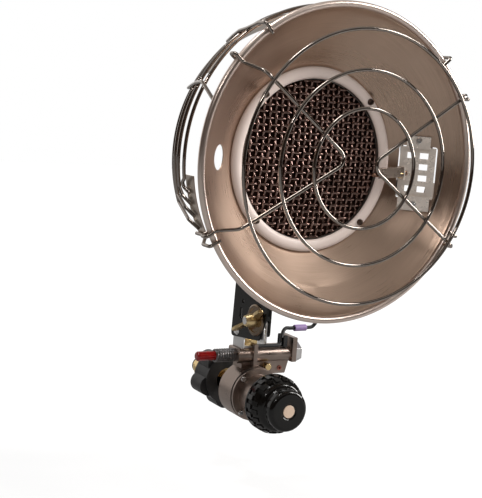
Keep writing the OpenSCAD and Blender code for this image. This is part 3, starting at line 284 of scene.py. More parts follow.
def red_button_finish():
    """Clear red moulding, deeper where it is thick."""
    m, nt, bsdf, place = new_finish("clear_red_moulding")
    cloud = noise(nt, place, 160, 3.0, 0.5, y=200)
    tone = ramp(nt, cloud, [(0.3, (0.16, 0.002, 0.003)), (0.7, (0.30, 0.006, 0.006))], y=200)
    nt.links.new(tone, bsdf.inputs["Base Color"])
    bsdf.inputs["Roughness"].default_value = 0.16
    bsdf.inputs["Coat Weight"].default_value = 0.5
    bsdf.inputs["Coat Roughness"].default_value = 0.05
    bsdf.inputs["Subsurface Weight"].default_value = 0.15
    bsdf.inputs["Subsurface Radius"].default_value = (0.004, 0.0005, 0.0005)
    bsdf.inputs["Subsurface Scale"].default_value = 1.0
    bump(nt, bsdf, noise(nt, place, 1400, 2.0, y=-200), 0.1, 0.00001)
    return m


red_button = red_button_finish()

# ---------------------------------------------------------------------------
# Geometry trees
# ---------------------------------------------------------------------------
def new_tree(name, sockets):
    t = bpy.data.node_groups.new(name, "GeometryNodeTree")
    t.interface.new_socket("Geometry", in_out="INPUT", socket_type="NodeSocketGeometry")
    for label, kind, value in sockets:
        s = t.interface.new_socket(label, in_out="INPUT", socket_type=kind)
        if value is not None:
            s.default_value = value
    t.interface.new_socket("Geometry", in_out="OUTPUT", socket_type="NodeSocketGeometry")
    return t, t.nodes.new("NodeGroupInput"), t.nodes.new("NodeGroupOutput")


def closing(t, shape, group_in, group_out):
    """Every tree ends alike: real geometry, smooth faces, one material."""
    real = add(t, "GeometryNodeRealizeInstances")
    smooth = add(t, "GeometryNodeSetShadeSmooth")
    look = add(t, "GeometryNodeSetMaterial")
    t.links.new(shape, real.inputs[0])
    t.links.new(real.outputs[0], smooth.inputs[0])
    t.links.new(smooth.outputs[0], look.inputs[0])
    t.links.new(group_in.outputs["Material"], look.inputs["Material"])
    t.links.new(look.outputs[0], group_out.inputs[0])


def wire_tree():
    """Round wire of one diameter along every path it is given."""
    t, i, o = new_tree("round_wire", [
        ("Diameter", "NodeSocketFloat", WIRE_D), ("Sides", "NodeSocketInt", 16),
        ("Material", "NodeSocketMaterial", None)])
    section = add(t, "GeometryNodeCurvePrimitiveCircle")
    half = maths(t, "MULTIPLY", i.outputs["Diameter"], 0.5)
    sweep = add(t, "GeometryNodeCurveToMesh")
    sweep.inputs["Fill Caps"].default_value = True
    t.links.new(half, section.inputs["Radius"])
    t.links.new(i.outputs["Sides"], section.inputs["Resolution"])
    t.links.new(i.outputs["Geometry"], sweep.inputs["Curve"])
    t.links.new(section.outputs[0], sweep.inputs["Profile Curve"])
    closing(t, sweep.outputs[0], i, o)
    return t


def weave_tree():
    """Domed cloth of crossing wires: rows of bent wire, then the same turned a quarter."""
    t, i, o = new_tree("woven_screen", [
        ("Radius", "NodeSocketFloat", MOUTH_R - 0.0008), ("Pitch", "NodeSocketFloat", 0.0048),
        ("Wire", "NodeSocketFloat", 0.0021), ("Crimp", "NodeSocketFloat", 0.35),
        ("Rise", "NodeSocketFloat", SCREEN_RISE), ("Rows", "NodeSocketInt", 25),
        ("Steps", "NodeSocketInt", 241), ("Material", "NodeSocketMaterial", None)])

    def m(op, a, b=None):
        return maths(t, op, a, b)

    def layer(turned):
        rows = add(t, "GeometryNodeMeshLine", mode="OFFSET")
        span = m("MULTIPLY", m("SUBTRACT", i.outputs["Rows"], 1), i.outputs["Pitch"])
        start = add(t, "ShaderNodeCombineXYZ")
        step = add(t, "ShaderNodeCombineXYZ")
        t.links.new(m("MULTIPLY", span, -0.5), start.inputs["Y"])
        t.links.new(i.outputs["Pitch"], step.inputs["Y"])
        t.links.new(i.outputs["Rows"], rows.inputs["Count"])
        t.links.new(start.outputs[0], rows.inputs["Start Location"])
        t.links.new(step.outputs[0], rows.inputs["Offset"])
        one = add(t, "GeometryNodeCurvePrimitiveLine")
        for end, share in (("Start", -0.5), ("End", 0.5)):
            tip = add(t, "ShaderNodeCombineXYZ")
            t.links.new(m("MULTIPLY", span, share), tip.inputs["X"])
            t.links.new(tip.outputs[0], one.inputs[end])
        fine = add(t, "GeometryNodeResampleCurve")
        t.links.new(one.outputs[0], fine.inputs["Curve"])
        t.links.new(i.outputs["Steps"], fine.inputs["Count"])
        copies = add(t, "GeometryNodeInstanceOnPoints")
        t.links.new(rows.outputs[0], copies.inputs["Points"])
        t.links.new(fine.outputs[0], copies.inputs["Instance"])
        real = add(t, "GeometryNodeRealizeInstances")
        t.links.new(copies.outputs[0], real.inputs[0])
        at = add(t, "GeometryNodeInputPosition")
        xyz = add(t, "ShaderNodeSeparateXYZ")
        t.links.new(at.outputs[0], xyz.inputs[0])
        x, y = xyz.outputs["X"], xyz.outputs["Y"]
        r2 = m("ADD", m("MULTIPLY", x, x), m("MULTIPLY", y, y))
        full = m("MULTIPLY", i.outputs["Radius"], i.outputs["Radius"])
        slant = m("MULTIPLY", m("SQRT", m("DIVIDE", r2, full)), math.pi / 2)
        dome = m("MULTIPLY", i.outputs["Rise"], m("COSINE", slant))
        # Over and under: the phase steps by half a turn from row to row
        row = m("ROUND", m("DIVIDE", y, i.outputs["Pitch"]))
        along = m("DIVIDE", x, i.outputs["Pitch"])
        phase = m("MULTIPLY", m("ADD", m("ADD", along, row), 1.0 if turned else 0.0), math.pi)
        over = m("MULTIPLY", m("COSINE", phase), m("MULTIPLY", i.outputs["Wire"], i.outputs["Crimp"]))
        move = add(t, "ShaderNodeCombineXYZ")
        t.links.new(m("ADD", dome, over), move.inputs["Z"])
        lift = add(t, "GeometryNodeSetPosition")
        t.links.new(real.outputs[0], lift.inputs["Geometry"])
        t.links.new(move.outputs[0], lift.inputs["Offset"])
        trim = add(t, "GeometryNodeDeleteGeometry", domain="POINT")
        t.links.new(lift.outputs[0], trim.inputs["Geometry"])
        t.links.new(m("GREATER_THAN", r2, full), trim.inputs["Selection"])
        section = add(t, "GeometryNodeCurvePrimitiveCircle")
        section.inputs["Resolution"].default_value = 10
        t.links.new(m("MULTIPLY", i.outputs["Wire"], 0.5), section.inputs["Radius"])
        sweep = add(t, "GeometryNodeCurveToMesh")
        sweep.inputs["Fill Caps"].default_value = True
        t.links.new(trim.outputs[0], sweep.inputs["Curve"])
        t.links.new(section.outputs[0], sweep.inputs["Profile Curve"])
        if not turned:
            return sweep.outputs[0]
        turn = add(t, "GeometryNodeTransform")
        turn.inputs["Rotation"].default_value = (0, 0, math.pi / 2)
        t.links.new(sweep.outputs[0], turn.inputs[0])
        return turn.outputs[0]

    both = add(t, "GeometryNodeJoinGeometry")
    for part in (layer(False), layer(True)):
        t.links.new(part, both.inputs[0])
    closing(t, both.outputs[0], i, o)
    return t


def run_tree(obj, tree, **sizes):
    """Runs a tree on an object and returns its result as a plain mesh; the object goes."""
    mod = obj.modifiers.new(tree.name, "NODES")
    mod.node_group = tree
    sockets = tree.interface.items_tree
    ids = {s.name: s.identifier for s in sockets if getattr(s, "in_out", "") == "INPUT"}
    for label, value in sizes.items():
        mod[ids[label]] = value
    return applied(obj)


# ---------------------------------------------------------------------------
# Making and placing pieces
# ---------------------------------------------------------------------------
def in_scene(name, data):
    obj = bpy.data.objects.new(name, data)
    bpy.context.scene.collection.objects.link(obj)
    return obj


def mesh_of(bm, name):
    mesh = bpy.data.meshes.new(name)
    bm.to_mesh(mesh)
    bm.free()
    return mesh


def place(name, mesh, body, slot, replaces=(), look=None):
    """A finished piece on its body, standing for the nodes that it replaces."""
    obj = in_scene(name, mesh)
    if look is not None:
        mesh.materials.clear()
        mesh.materials.append(look)
    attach(obj, body)
    if replaces:
        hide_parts(*replaces)
    return obj


def smooth_by_angle(mesh, degrees):
    for p in mesh.polygons:
        p.use_smooth = True
    mesh.set_sharp_from_angle(angle=math.radians(degrees))


def applied(obj):
    """The object's mesh with its modifiers applied; the object goes."""
    bpy.context.view_layer.update()
    mesh = bpy.data.meshes.new_from_object(obj.evaluated_get(bpy.context.evaluated_depsgraph_get()))
    bpy.data.objects.remove(obj)
    return mesh


CORNER = 28             # degrees between faces, from which an edge counts as sharp


def eased(mesh, edge):
    """Rounds the sharp edges and evens the shading of the flat faces."""
    obj = in_scene("eased", mesh)
    if edge:
        ease = obj.modifiers.new("ease", "BEVEL")
        ease.width = edge
        ease.segments = 2
        ease.limit_method = "ANGLE"
        ease.angle_limit = math.radians(CORNER)
        ease.use_clamp_overlap = True
    soft = applied(obj)
    smooth_by_angle(soft, CORNER)
    obj = in_scene("evened", soft)
    obj.modifiers.new("even", "WEIGHTED_NORMAL").keep_sharp = True
    return applied(obj)


def dress(node, look, edge):
    """The piece itself, with its sharp edges eased as handling and tooling leave them."""
    mesh = frame["nodes"][node].data.copy()
    bm = bmesh.new()
    bm.from_mesh(mesh)
    bmesh.ops.remove_doubles(bm, verts=bm.verts, dist=1e-6)
    bmesh.ops.dissolve_limit(bm, angle_limit=math.radians(0.4), verts=bm.verts, edges=bm.edges)
    bm.to_mesh(mesh)
    bm.free()
    return place(node + "_finished", eased(mesh, edge), BODY_OF[node], SLOT_OF[node], (node,), look)


BEND_STEPS = 5          # points of a bend, a radian


def corner_arc(a, p, b, radius):
    """Points of a bend of the given radius at p, on the way from a to b."""
    u, w = (a - p).normalized(), (b - p).normalized()
    opening = u.angle(w)
    turn = math.pi - opening
    if turn < 0.01:
        return [p]
    centre = p + (u + w).normalized() * radius / math.sin(opening / 2)
    start = p + u * radius / math.tan(opening / 2) - centre
    n = max(2, round(BEND_STEPS * turn))
    return [centre + start * math.cos(turn * k / n) - u * radius * math.sin(turn * k / n)
            for k in range(n + 1)]


def bent(points, radii):
    """A path through the points, with a bend of its own radius at each inner one."""
    path = [points[0]]
    for k in range(1, len(points) - 1):
        path += corner_arc(points[k - 1], points[k], points[k + 1], radii[k - 1])
    return path + [points[-1]]


def smooth_path(points, steps=10):
    """A smooth curve through the points (Catmull-Rom)."""
    out, last = [], len(points) - 1
    for k in range(last):
        a, b, c, e = points[max(k - 1, 0)], points[k], points[k + 1], points[min(k + 2, last)]
        for s in range(steps):
            t = s / steps
            out.append(0.5 * (2 * b + (c - a) * t + (2 * a - 5 * b + 4 * c - e) * t ** 2
                              + (3 * b - a - 3 * c + e) * t ** 3))
    return out + [points[-1]]


ROUND_WIRE = wire_tree()


def wires(name, open_paths, look, body, slot, replaces=(), closed_paths=(), diameter=WIRE_D,
          sides=16):
    """Wires along their paths, made by the wire tree as one mesh."""
    data = bpy.data.curves.new(name + "_paths", "CURVE")
    data.dimensions = "3D"
    data.twist_mode = "MINIMUM"
    for paths, loop in ((open_paths, False), (closed_paths, True)):
        for path in paths:
            s = data.splines.new("POLY")
            s.points.add(len(path) - 1)
            for k, p in enumerate(path):
                s.points[k].co = (*p, 1)
            s.use_cyclic_u = loop
    guide = in_scene(name + "_guide", data)
    mesh = run_tree(guide, ROUND_WIRE, Diameter=diameter, Sides=sides, Material=look)
    smooth_by_angle(mesh, 40)
    return place(name, mesh, body, slot, replaces)


def circle(radius, ahead, start=0.0, stop=360.0, step=2.0):
    """Points of a ring or arc about the dish axis; a whole ring doesn't repeat its first point."""
    span = stop - start
    n = max(2, round(span / step))
    return [around(radius, start + span * k / n, ahead) for k in range(n if span >= 360 else n + 1)]


def lathe(profile, sides=256):
    """Turns a closed outline of (radius, ahead) about the dish axis."""
    bm = bmesh.new()
    rows = []
    for k in range(sides):
        a = math.degrees(2 * math.pi * k / sides)
        rows.append([bm.verts.new(around(r, a, h)) for r, h in profile])
    n = len(profile)
    for k in range(sides):
        a, b = rows[k], rows[(k + 1) % sides]
        for j in range(n):
            bm.faces.new((a[j], a[(j + 1) % n], b[(j + 1) % n], b[j]))
    bmesh.ops.remove_doubles(bm, verts=bm.verts, dist=1e-6)
    bmesh.ops.recalc_face_normals(bm, faces=bm.faces)
    return mesh_of(bm, "turned")


def cut(mesh, cutters):
    """Cuts holes through a mesh."""
    obj = in_scene("blank", mesh)
    tools = [in_scene("cutter", cutter) for cutter in cutters]
    for tool in tools:
        b = obj.modifiers.new("cut", "BOOLEAN")
        b.operation = "DIFFERENCE"
        b.solver = "EXACT"
        b.object = tool
    done = applied(obj)
    for tool in tools:
        bpy.data.objects.remove(tool)
    return done


def block_cutter(matrix, size, corner):
    """A block centred on a frame, with its four upright edges rounded."""
    bm = bmesh.new()
    bmesh.ops.create_cube(bm, size=1.0)
    bmesh.ops.scale(bm, vec=size, verts=bm.verts)
    upright = [e for e in bm.edges if abs((e.verts[0].co - e.verts[1].co).normalized().z) > 0.9]
    bmesh.ops.bevel(bm, geom=upright, offset=corner, segments=4, affect="EDGES", profile=0.5)
    bmesh.ops.transform(bm, matrix=matrix, verts=bm.verts)
    return mesh_of(bm, "block")


def drum_cutter(matrix, radius, depth):
    bm = bmesh.new()
    bmesh.ops.create_cone(bm, cap_ends=True, segments=48, radius1=radius, radius2=radius, depth=depth)
    bmesh.ops.transform(bm, matrix=matrix, verts=bm.verts)
    return mesh_of(bm, "drum")


# ---------------------------------------------------------------------------
# Camera, light and floor
# ---------------------------------------------------------------------------
# Fitted to the photo: the camera's right, up and back as columns, then its place
CAMERA_FRAME = Matrix(((0.8720, -0.0002, -0.4896, -0.4805),
                       (-0.4836, 0.1555, -0.8614, -0.8956),
                       (0.0763, 0.9878, 0.1355, 0.2442),
                       (0, 0, 0, 1)))
CAMERA_LENS = 86.75                             # millimetres, on a 36 mm sensor
WORLD_DIFFUSE = 0.95
FLOOR_Z = -0.075
FLOOR_HALF = 3.0
FLOOR_LIFT = (0.66, 0.82)                       # close to the heater, and a metre away
LAMPS = (   # name, place, what it faces, size, watts, colour
    ("key", (1.15, -0.95, 1.20), (0, -0.12, 0.15), (0.45, 0.45), 12, (1.0, 0.98, 0.96)),
    ("right", (1.45, -0.60, 0.55), (0, -0.10, 0.15), (0.35, 0.60), 18, (1.0, 0.98, 0.96)),
    ("left", (-1.20, -1.00, 1.20), (0, -0.10, 0.10), (0.16, 0.16), 2.5, (1.0, 0.97, 0.95)),
    ("top", (-0.35, 0.05, 1.60), (0, -0.10, 0.10), (0.40, 0.40), 7, (1.0, 1.0, 1.0)),
)


def set_camera():
    cam = bpy.data.cameras.new("photo_view")
    cam.lens = CAMERA_LENS
    cam.sensor_width = 36
    obj = in_scene("photo_view", cam)
    obj.matrix_world = CAMERA_FRAME
    bpy.context.scene.camera = obj


def soft_lamp(name, at, to, size, power, colour):
    lamp = bpy.data.lights.new(name, "AREA")
    lamp.shape = "RECTANGLE"
    lamp.size, lamp.size_y = size
    lamp.energy = power
    lamp.color = colour
    obj = in_scene(name, lamp)
    obj.location = at
    obj.rotation_euler = (Vector(to) - Vector(at)).to_track_quat("-Z", "Y").to_euler()


def set_world():
    """A dim warm room with a bright wall behind the heater, plain white to the camera."""
    world = bpy.data.worlds.new("studio")
    bpy.context.scene.world = world
    world.use_nodes = True
    nt = world.node_tree
    nt.nodes.clear()
    out = add(nt, "ShaderNodeOutputWorld", 900)
    where = add(nt, "ShaderNodeTexCoord", -1100)
    xyz = add(nt, "ShaderNodeSeparateXYZ", -900)
    nt.links.new(where.outputs["Generated"], xyz.inputs[0])
    path = add(nt, "ShaderNodeLightPath", -400, 500)
    even = add(nt, "ShaderNodeBackground", 100, 0)
    sky = ramp(nt, xyz.outputs["Z"],
               [(0.0, (0.50, 0.47, 0.45)), (0.5, (0.72, 0.71, 0.70)), (1.0, grey(0.9))])
    nt.links.new(sky, even.inputs["Color"])
    even.inputs["Strength"].default_value = WORLD_DIFFUSE
    room = add(nt, "ShaderNodeBackground", 100, 200)
    depth = maths(nt, "ADD", maths(nt, "MULTIPLY", xyz.outputs["Y"], 0.5), 0.5, y=300)
    behind = ramp(nt, depth, [(0.0, (0.045, 0.033, 0.027)), (0.80, (0.06, 0.046, 0.039)),
                              (0.92, (0.90, 0.88, 0.86)), (1.0, grey(1))], y=300)
    above = ramp(nt, xyz.outputs["Z"], [(0.40, grey(0)), (0.85, (0.40, 0.38, 0.36))], y=-300)
    both = add(nt, "ShaderNodeMix", -50, 300, data_type="RGBA", blend_type="LIGHTEN")
    both.inputs["Factor"].default_value = 1.0
    nt.links.new(behind, both.inputs["A"])
    nt.links.new(above, both.inputs["B"])
    nt.links.new(both.outputs["Result"], room.inputs["Color"])
    white = add(nt, "ShaderNodeBackground", 300, 400)
    white.inputs["Color"].default_value = (1, 1, 1, 1)
    shiny = add(nt, "ShaderNodeMixShader", 400, 100)
    nt.links.new(path.outputs["Is Glossy Ray"], shiny.inputs[0])
    nt.links.new(even.outputs[0], shiny.inputs[1])
    nt.links.new(room.outputs[0], shiny.inputs[2])
    seen = add(nt, "ShaderNodeMixShader", 650, 200)
    straight = maths(nt, "MAXIMUM", path.outputs["Is Camera Ray"], path.outputs["Is Transmission Ray"],
                     x=450, y=500)
    nt.links.new(straight, seen.inputs[0])
    nt.links.new(shiny.outputs[0], seen.inputs[1])
    nt.links.new(white.outputs[0], seen.inputs[2])
    nt.links.new(seen.outputs[0], out.inputs[0])


def set_floor():
    """Pale floor: the camera sees it nearly white, and it keeps the heater's shadow."""
    mesh = bpy.data.meshes.new("floor")
    s, z = FLOOR_HALF, FLOOR_Z
    mesh.from_pydata([(-s, -s, z), (s, -s, z), (s, s, z), (-s, s, z)], [], [(0, 1, 2, 3)])
    floor = in_scene("floor", mesh)
    m, nt, bsdf, where = new_finish("pale_floor")
    tone = ramp(nt, noise(nt, where, 3.0), [(0.3, grey(0.29)), (0.7, grey(0.31))])
    nt.links.new(tone, bsdf.inputs["Base Color"])
    bsdf.inputs["Roughness"].default_value = 0.9
    bsdf.inputs["Specular IOR Level"].default_value = 0.1
    path = add(nt, "ShaderNodeLightPath", 100, 500)
    lift = add(nt, "ShaderNodeEmission", 300, 400)
    away = add(nt, "ShaderNodeVectorMath", -500, 500, operation="LENGTH")
    nt.links.new(where, away.inputs[0])
    near, far = FLOOR_LIFT
    glow = ramp(nt, away.outputs["Value"], [(0.25, grey(near)), (1.0, grey(far))], y=500)
    glow = maths(nt, "MULTIPLY", path.outputs["Is Camera Ray"], glow, x=200, y=500)
    nt.links.new(glow, lift.inputs["Strength"])
    total = add(nt, "ShaderNodeAddShader", 800, 300)
    nt.links.new(bsdf.outputs[0], total.inputs[0])
    nt.links.new(lift.outputs[0], total.inputs[1])
    out = next(n for n in nt.nodes if n.type == "OUTPUT_MATERIAL")
    nt.links.new(total.outputs[0], out.inputs[0])
    mesh.materials.append(m)


bpy.context.scene.view_settings.view_transform = "Standard"
set_camera()
set_world()
set_floor()
for lamp in LAMPS:
    soft_lamp(*lamp)

# ---------------------------------------------------------------------------
# Dish: reflector, rim bead, collar
# ---------------------------------------------------------------------------
WINDOW_R, WINDOW_UP = 0.086, -0.005
WINDOW_SIZE = (0.029, 0.040)
WINDOW_CORNER = 0.002
PEEP_HOLE_R = 0.009
CUT_DEPTH = (0.020, 0.016)          # of the window's and the peep hole's cutters
LEAN_SPAN = 0.008
WINDOW_LEAN = math.atan((bowl_h(WINDOW_R + LEAN_SPAN) - bowl_h(WINDOW_R - LEAN_SPAN)) / (2 * LEAN_SPAN))
# The rim's lip turns in from the bead, and the throat's flat lies under the collar
LIP = [(0.1138, 0.0006), (0.1122, 0.0002), (0.1106, -0.0006), (0.1096, -0.0020), (0.1088, -0.0030)]
SLOPE_R, SLOPE_STEPS = 0.1080, 24
SLANT_DEPTH = 1.15                  # of the slanting wall along the axis, in sheet thicknesses
THROAT_FLAT = [(THROAT_R - 0.0006, THROAT_H - 0.0001), (0.0632, THROAT_H), (0.0614, THROAT_H)]


def at_window(side, up_by):
    """Frame square to the bowl, at the sensor's window (side 1) or across from it (side -1).

    Its x points outwards, y up and z through the sheet.
    """
    out = Vector((side * math.cos(WINDOW_LEAN), -math.sin(WINDOW_LEAN), 0))
    up = Vector((0, 0, 1))
    at = dish(side * WINDOW_R, up_by, bowl_h(WINDOW_R))
    turn = Matrix((out, up, out.cross(up))).transposed()
    return Matrix.Translation(at) @ turn.to_4x4()


def make_reflector():
    """Bowl with its window and peep hole."""
    slope = [SLOPE_R - (SLOPE_R - THROAT_R) * k / SLOPE_STEPS for k in range(SLOPE_STEPS + 1)]
    front = LIP + [(r, bowl_h(r)) for r in slope] + THROAT_FLAT
    back = [(r, h - SHEET * (SLANT_DEPTH if r > THROAT_R else 1.0)) for r, h in reversed(front)]
    mesh = cut(lathe(front + back), [
        block_cutter(at_window(1, WINDOW_UP), (*WINDOW_SIZE, CUT_DEPTH[0]), WINDOW_CORNER),
        drum_cutter(at_window(-1, 0), PEEP_HOLE_R, CUT_DEPTH[1])])
    smooth_by_angle(mesh, 30)
    return place("reflector_bowl", mesh, "burner", "rim_steel", ("reflector",), steel_dish)


make_reflector()
wires("rolled_rim_bead", [], steel_rim, "burner", "rim_steel",
      closed_paths=[circle(BEAD_R, 0.0, step=1.0)], diameter=BEAD_D, sides=32)

COLLAR_R = 0.0641           # to the crown of the ring
COLLAR_HALF = 0.0044        # half its width
COLLAR_CROWN = 0.003


def make_collar():
    """Pressed ring with a round crown, hollow at the back."""
    def crown(inset, angles):
        return [(COLLAR_R + (COLLAR_HALF - inset) * math.cos(math.radians(a)),
                 THROAT_H + 0.0001 + (COLLAR_CROWN - inset) * math.sin(math.radians(a))) for a in angles]
    mesh = lathe(crown(0, range(0, 181, 9)) + crown(SHEET, range(180, -1, -9)))
    smooth_by_angle(mesh, 40)
    return place("collar", mesh, "burner", "collar_steel", ("collar_ring",), painted_light_collar)


make_collar()

WEAVE_DROP = 0.0016         # from the dome's foot to the middle of the weave
# Painted shade: a dark sheet this far behind the dome's foot, its front and its back
SHADE_BACKING_DROP = (0.0020, 0.0028)

# Woven screen: the tree makes it lying down, then it is stood up in the mouth
blank = in_scene("screen_blank", bpy.data.meshes.new("screen_blank"))
screen = run_tree(blank, weave_tree(), Material=hot_wire)
upright = Matrix.Rotation(math.pi / 2, 4, "X")
screen.transform(Matrix.Translation(dish(0, 0, SCREEN_H - WEAVE_DROP)) @ upright)
place("woven_screen", screen, "burner", "screen_wire", ("emitter_screen",))


def make_shade_backing():
    """Dark domed cloth that closes the weave from behind: painted shade that darkens the gaps, where the
    burner behind lies in shade.
    """
    def side(drop, n=24):
        return [((MOUTH_R - 0.0002) * k / n, SCREEN_H - drop + SCREEN_RISE * math.cos(math.pi / 2 * k / n))
                for k in range(n + 1)]
    front, back = SHADE_BACKING_DROP
    mesh = lathe(side(front) + side(back)[::-1], 128)
    smooth_by_angle(mesh, 40)
    place("screen_shade_backing", mesh, "burner", "screen_wire", (), hot_plate_and_shade)


make_shade_backing()

# ---------------------------------------------------------------------------
# Guards
# ---------------------------------------------------------------------------
WELD = 0.0003               # how far welded wires sink into each other
PAST_RING = 0.007           # from the outer ring to the spoke's first knee
SPOKE_H = [h - WIRE_D + WELD for h in RING_H]
TIP_H = RING_H[2] - WIRE_D + 0.0007
LEG_RADII = [0.02, 0.02, 0.02, 0.006, 0.003, 0.0024, 0.0024]
TIP_RADIUS = 0.007
# Each front spoke: its tip, then the degrees at which its legs pass the outer ring and hook on the rim
LEFT_SPOKE = ((-0.012, 0.005), (143.6, 143), (-155, -154))
RIGHT_SPOKE = ((0.006, 0.0025), (33, 26.5), (-32.5, -28.8))


def on_ring(a, b, r):
    """Where the line from a towards b crosses the ring of radius r."""
    v = (b[0] - a[0], b[1] - a[1])
    m = a[0] * v[0] + a[1] * v[1]
    q = v[0] ** 2 + v[1] ** 2
    t = (-m + math.sqrt(m * m - q * (a[0] ** 2 + a[1] ** 2 - r * r))) / q
    return a[0] + t * v[0], a[1] + t * v[1]


def leg(tip, ring_a, hook_a):
    """Half a spoke: behind the three rings, then down over the rim's bead and round it."""
    reach, turn = RING_R[0] + PAST_RING, math.radians(ring_a)
    out = (reach * math.cos(turn), reach * math.sin(turn))
    return [dish(*on_ring(tip, out, RING_R[k]), SPOKE_H[k]) for k in (2, 1, 0)] + [
        dish(*out, RING_H[0] - WIRE_D), around(BEAD_R - 0.002, (ring_a + hook_a) / 2, OVER_BEAD),
        around(HOOK_R, hook_a, OVER_BEAD), around(HOOK_R, hook_a, -OVER_BEAD),
        around(BEAD_R - 0.0015, hook_a, -OVER_BEAD)]


def spoke(tip, upper, lower):
    """V-shaped spoke of the front guard, from one hook over its tip to the other."""
    points = leg(tip, *upper)[::-1] + [dish(*tip, TIP_H)] + leg(tip, *lower)
    return bent(points, LEG_RADII[::-1] + [TIP_RADIUS] + LEG_RADII)


wires("front_guard_wires", [spoke(*LEFT_SPOKE), spoke(*RIGHT_SPOKE)],
      chrome_wire, "burner", "guard_chrome", ("front_guard",),
      closed_paths=[circle(r, h) for r, h in zip(RING_R, RING_H)])

BAND_R, BAND_FRONT, BAND_BACK = 0.1085, -0.020, -0.032      # strips that the hoops end on
ON_BAND = BAND_R + WIRE_D / 2 + 0.0002
HOOP_ENDS = (193.3, 197.6, 202.1, 207)                      # degrees, on the left
HOOP_KNEES = (188, 192, 196, 201)
HOOK_DROP = 0.003           # how much further back than the bead a hook runs
HOOK_BEND, HOOK_KNEE, RUN_BEND = 0.0024, 0.003, 0.008


def mirrored(path):
    """The same path on the other side of the dish."""
    return [Vector((-p.x, p.y, p.z)) for p in path]


def hoop(k):
    """Back hoop over the top, with its ends bent in on the strips."""
    knee, end = HOOP_KNEES[k], HOOP_ENDS[k]
    arc = circle(HOOP_R[k], HOOP_H[k], 180 - knee, knee)
    tail = [around(BAND_R + 0.0022, (knee + end) / 2, BAND_BACK - 0.003),
            around(ON_BAND, end, BAND_FRONT - 0.005)]
    one = bent([arc[-2], arc[-1]] + tail, [0.0012, 0.003])[1:]
    return mirrored(one)[::-1] + arc[1:-1] + one


def over_rim(a):
    """A hook from the front of the rim's bead, round it and back."""
    return [around(BEAD_R - 0.0025, a, OVER_BEAD), around(HOOK_R, a, OVER_BEAD),
            around(HOOK_R, a, -OVER_BEAD - HOOK_DROP)]


def hoop_run(a):
    """The stretch of a back spoke that lies on the hoops; its end dips past the last one."""
    return [around(HOOP_R[k] + WIRE_D - WELD, a, HOOP_H[k] - (0.001 if k == 3 else 0)) for k in range(4)]


def hooked_spoke(a):
    return bent(over_rim(a) + hoop_run(a), [HOOK_BEND, HOOK_KNEE] + [RUN_BEND] * 3)


def plain_spoke(a):
    """Starts behind the bead and steps out to the hoops."""
    start = [around(BEAD_R - 0.001, a, -OVER_BEAD), around(HOOK_R, a, -OVER_BEAD - HOOK_DROP)]
    return bent(start + hoop_run(a), [HOOK_KNEE] + [RUN_BEND] * 3)


def slanted_spoke(a, slant):
    """Starts behind the bead, some degrees away, and slants to the first hoop."""
    return bent([around(BEAD_R - 0.001, a + slant, -OVER_BEAD)] + hoop_run(a), [RUN_BEND] * 3)


def low_hook(a):
    """Short hook that ties a strip to the rim."""
    foot = [around(ON_BAND, a, BAND_FRONT + 0.002), around(ON_BAND, a, BAND_BACK)]
    return bent(over_rim(a) + foot, [HOOK_BEND, HOOK_KNEE, HOOK_KNEE])


wires("rear_guard_wires", [hoop(k) for k in range(4)] + [
    slanted_spoke(153.5, 6), hooked_spoke(128), hooked_spoke(43.9), plain_spoke(28),
    low_hook(209.5), mirrored(low_hook(205.2))],
      chrome_wire, "burner", "guard_chrome", ("rear_guard",))

# ---------------------------------------------------------------------------
# Leads
# ---------------------------------------------------------------------------
LEAD_D = 0.003
# Routes in millimetres; the two meet on the tilt axis
UPPER_LEAD = [(86, -150, 188), (88, -140, 183), (88, -126, 168), (84, -112, 146), (76, -100, 120),
              (68, -90, 94), (64, -82, 72), (62, -79, 58), (58, -78, 51), (52, -78, 50), (44, -78, 50),
              (36, -78, 50)]
LOWER_LEAD = [(35.9, -78, 50), (32, -78, 50), (29, -79, 47.5), (26.5, -81.5, 42.5), (24, -84, 38.6),
              (20, -84.6, 37.7), (10, -84.6, 37.7), (1.6, -84.6, 37.7)]
for name, route, body, node in (
        ("sensor_lead_on_head", UPPER_LEAD, "burner", "thermocouple_lead_upper"),
        ("sensor_lead_on_valve", LOWER_LEAD, "valve", "thermocouple_lead_lower")):
    wires(name, [smooth_path([Vector(p) / 1000 for p in route])], black_rubber, body, "lead_black",
          (node,), diameter=LEAD_D)

# ---------------------------------------------------------------------------
# Folded arm over the sensor
# ---------------------------------------------------------------------------
SENSOR_FOOT = (0.076, -0.006, -0.02733)     # where the sensor leaves its lug: right, up and ahead
SENSOR_TILT, SENSOR_DROP = 4.0, 4.4         # degrees that it points ahead of level, and down to the left
ARM_REACH = (0.0020, 0.0270)                # along the sensor, from the foot
ARM_EDGE = 0.00025
# The strip's section, square to the sensor: ahead of it and up from it
ARM_FOLD = [(-0.00305, 0.00495), (0.0034, 0.00495), (0.0034, -0.0026), (0.0014, -0.0026),
            (0.0014, -0.0019), (0.0027, -0.0019), (0.0027, 0.00405), (-0.00305, 0.00405)]


def make_sensor_arm():
    """Channel that shields the sensor: a top and a front face, folded from one strip."""
    turn = (Matrix.Rotation(math.radians(SENSOR_DROP), 3, "Z")
            @ Matrix.Rotation(math.radians(SENSOR_TILT - 90), 3, "Y"))
    bm = bmesh.new()
    ends = []
    for reach in ARM_REACH:
        ring = []
        for a, u in ARM_FOLD:
            p = Vector(SENSOR_FOOT) + turn @ Vector((a, u, reach))
            ring.append(bm.verts.new(dish(*p)))
        ends.append(ring)
    n = len(ARM_FOLD)
    for k in range(n):
        bm.faces.new((ends[0][k], ends[0][(k + 1) % n], ends[1][(k + 1) % n], ends[1][k]))
    bm.faces.new(ends[0][::-1])
    bm.faces.new(ends[1])
    bmesh.ops.recalc_face_normals(bm, faces=bm.faces)
    strip = eased(mesh_of(bm, "sensor_arm"), ARM_EDGE)
    place("sensor_arm", strip, "burner", SLOT_OF["thermocouple_bracket"], (), arm_satin)


make_sensor_arm()

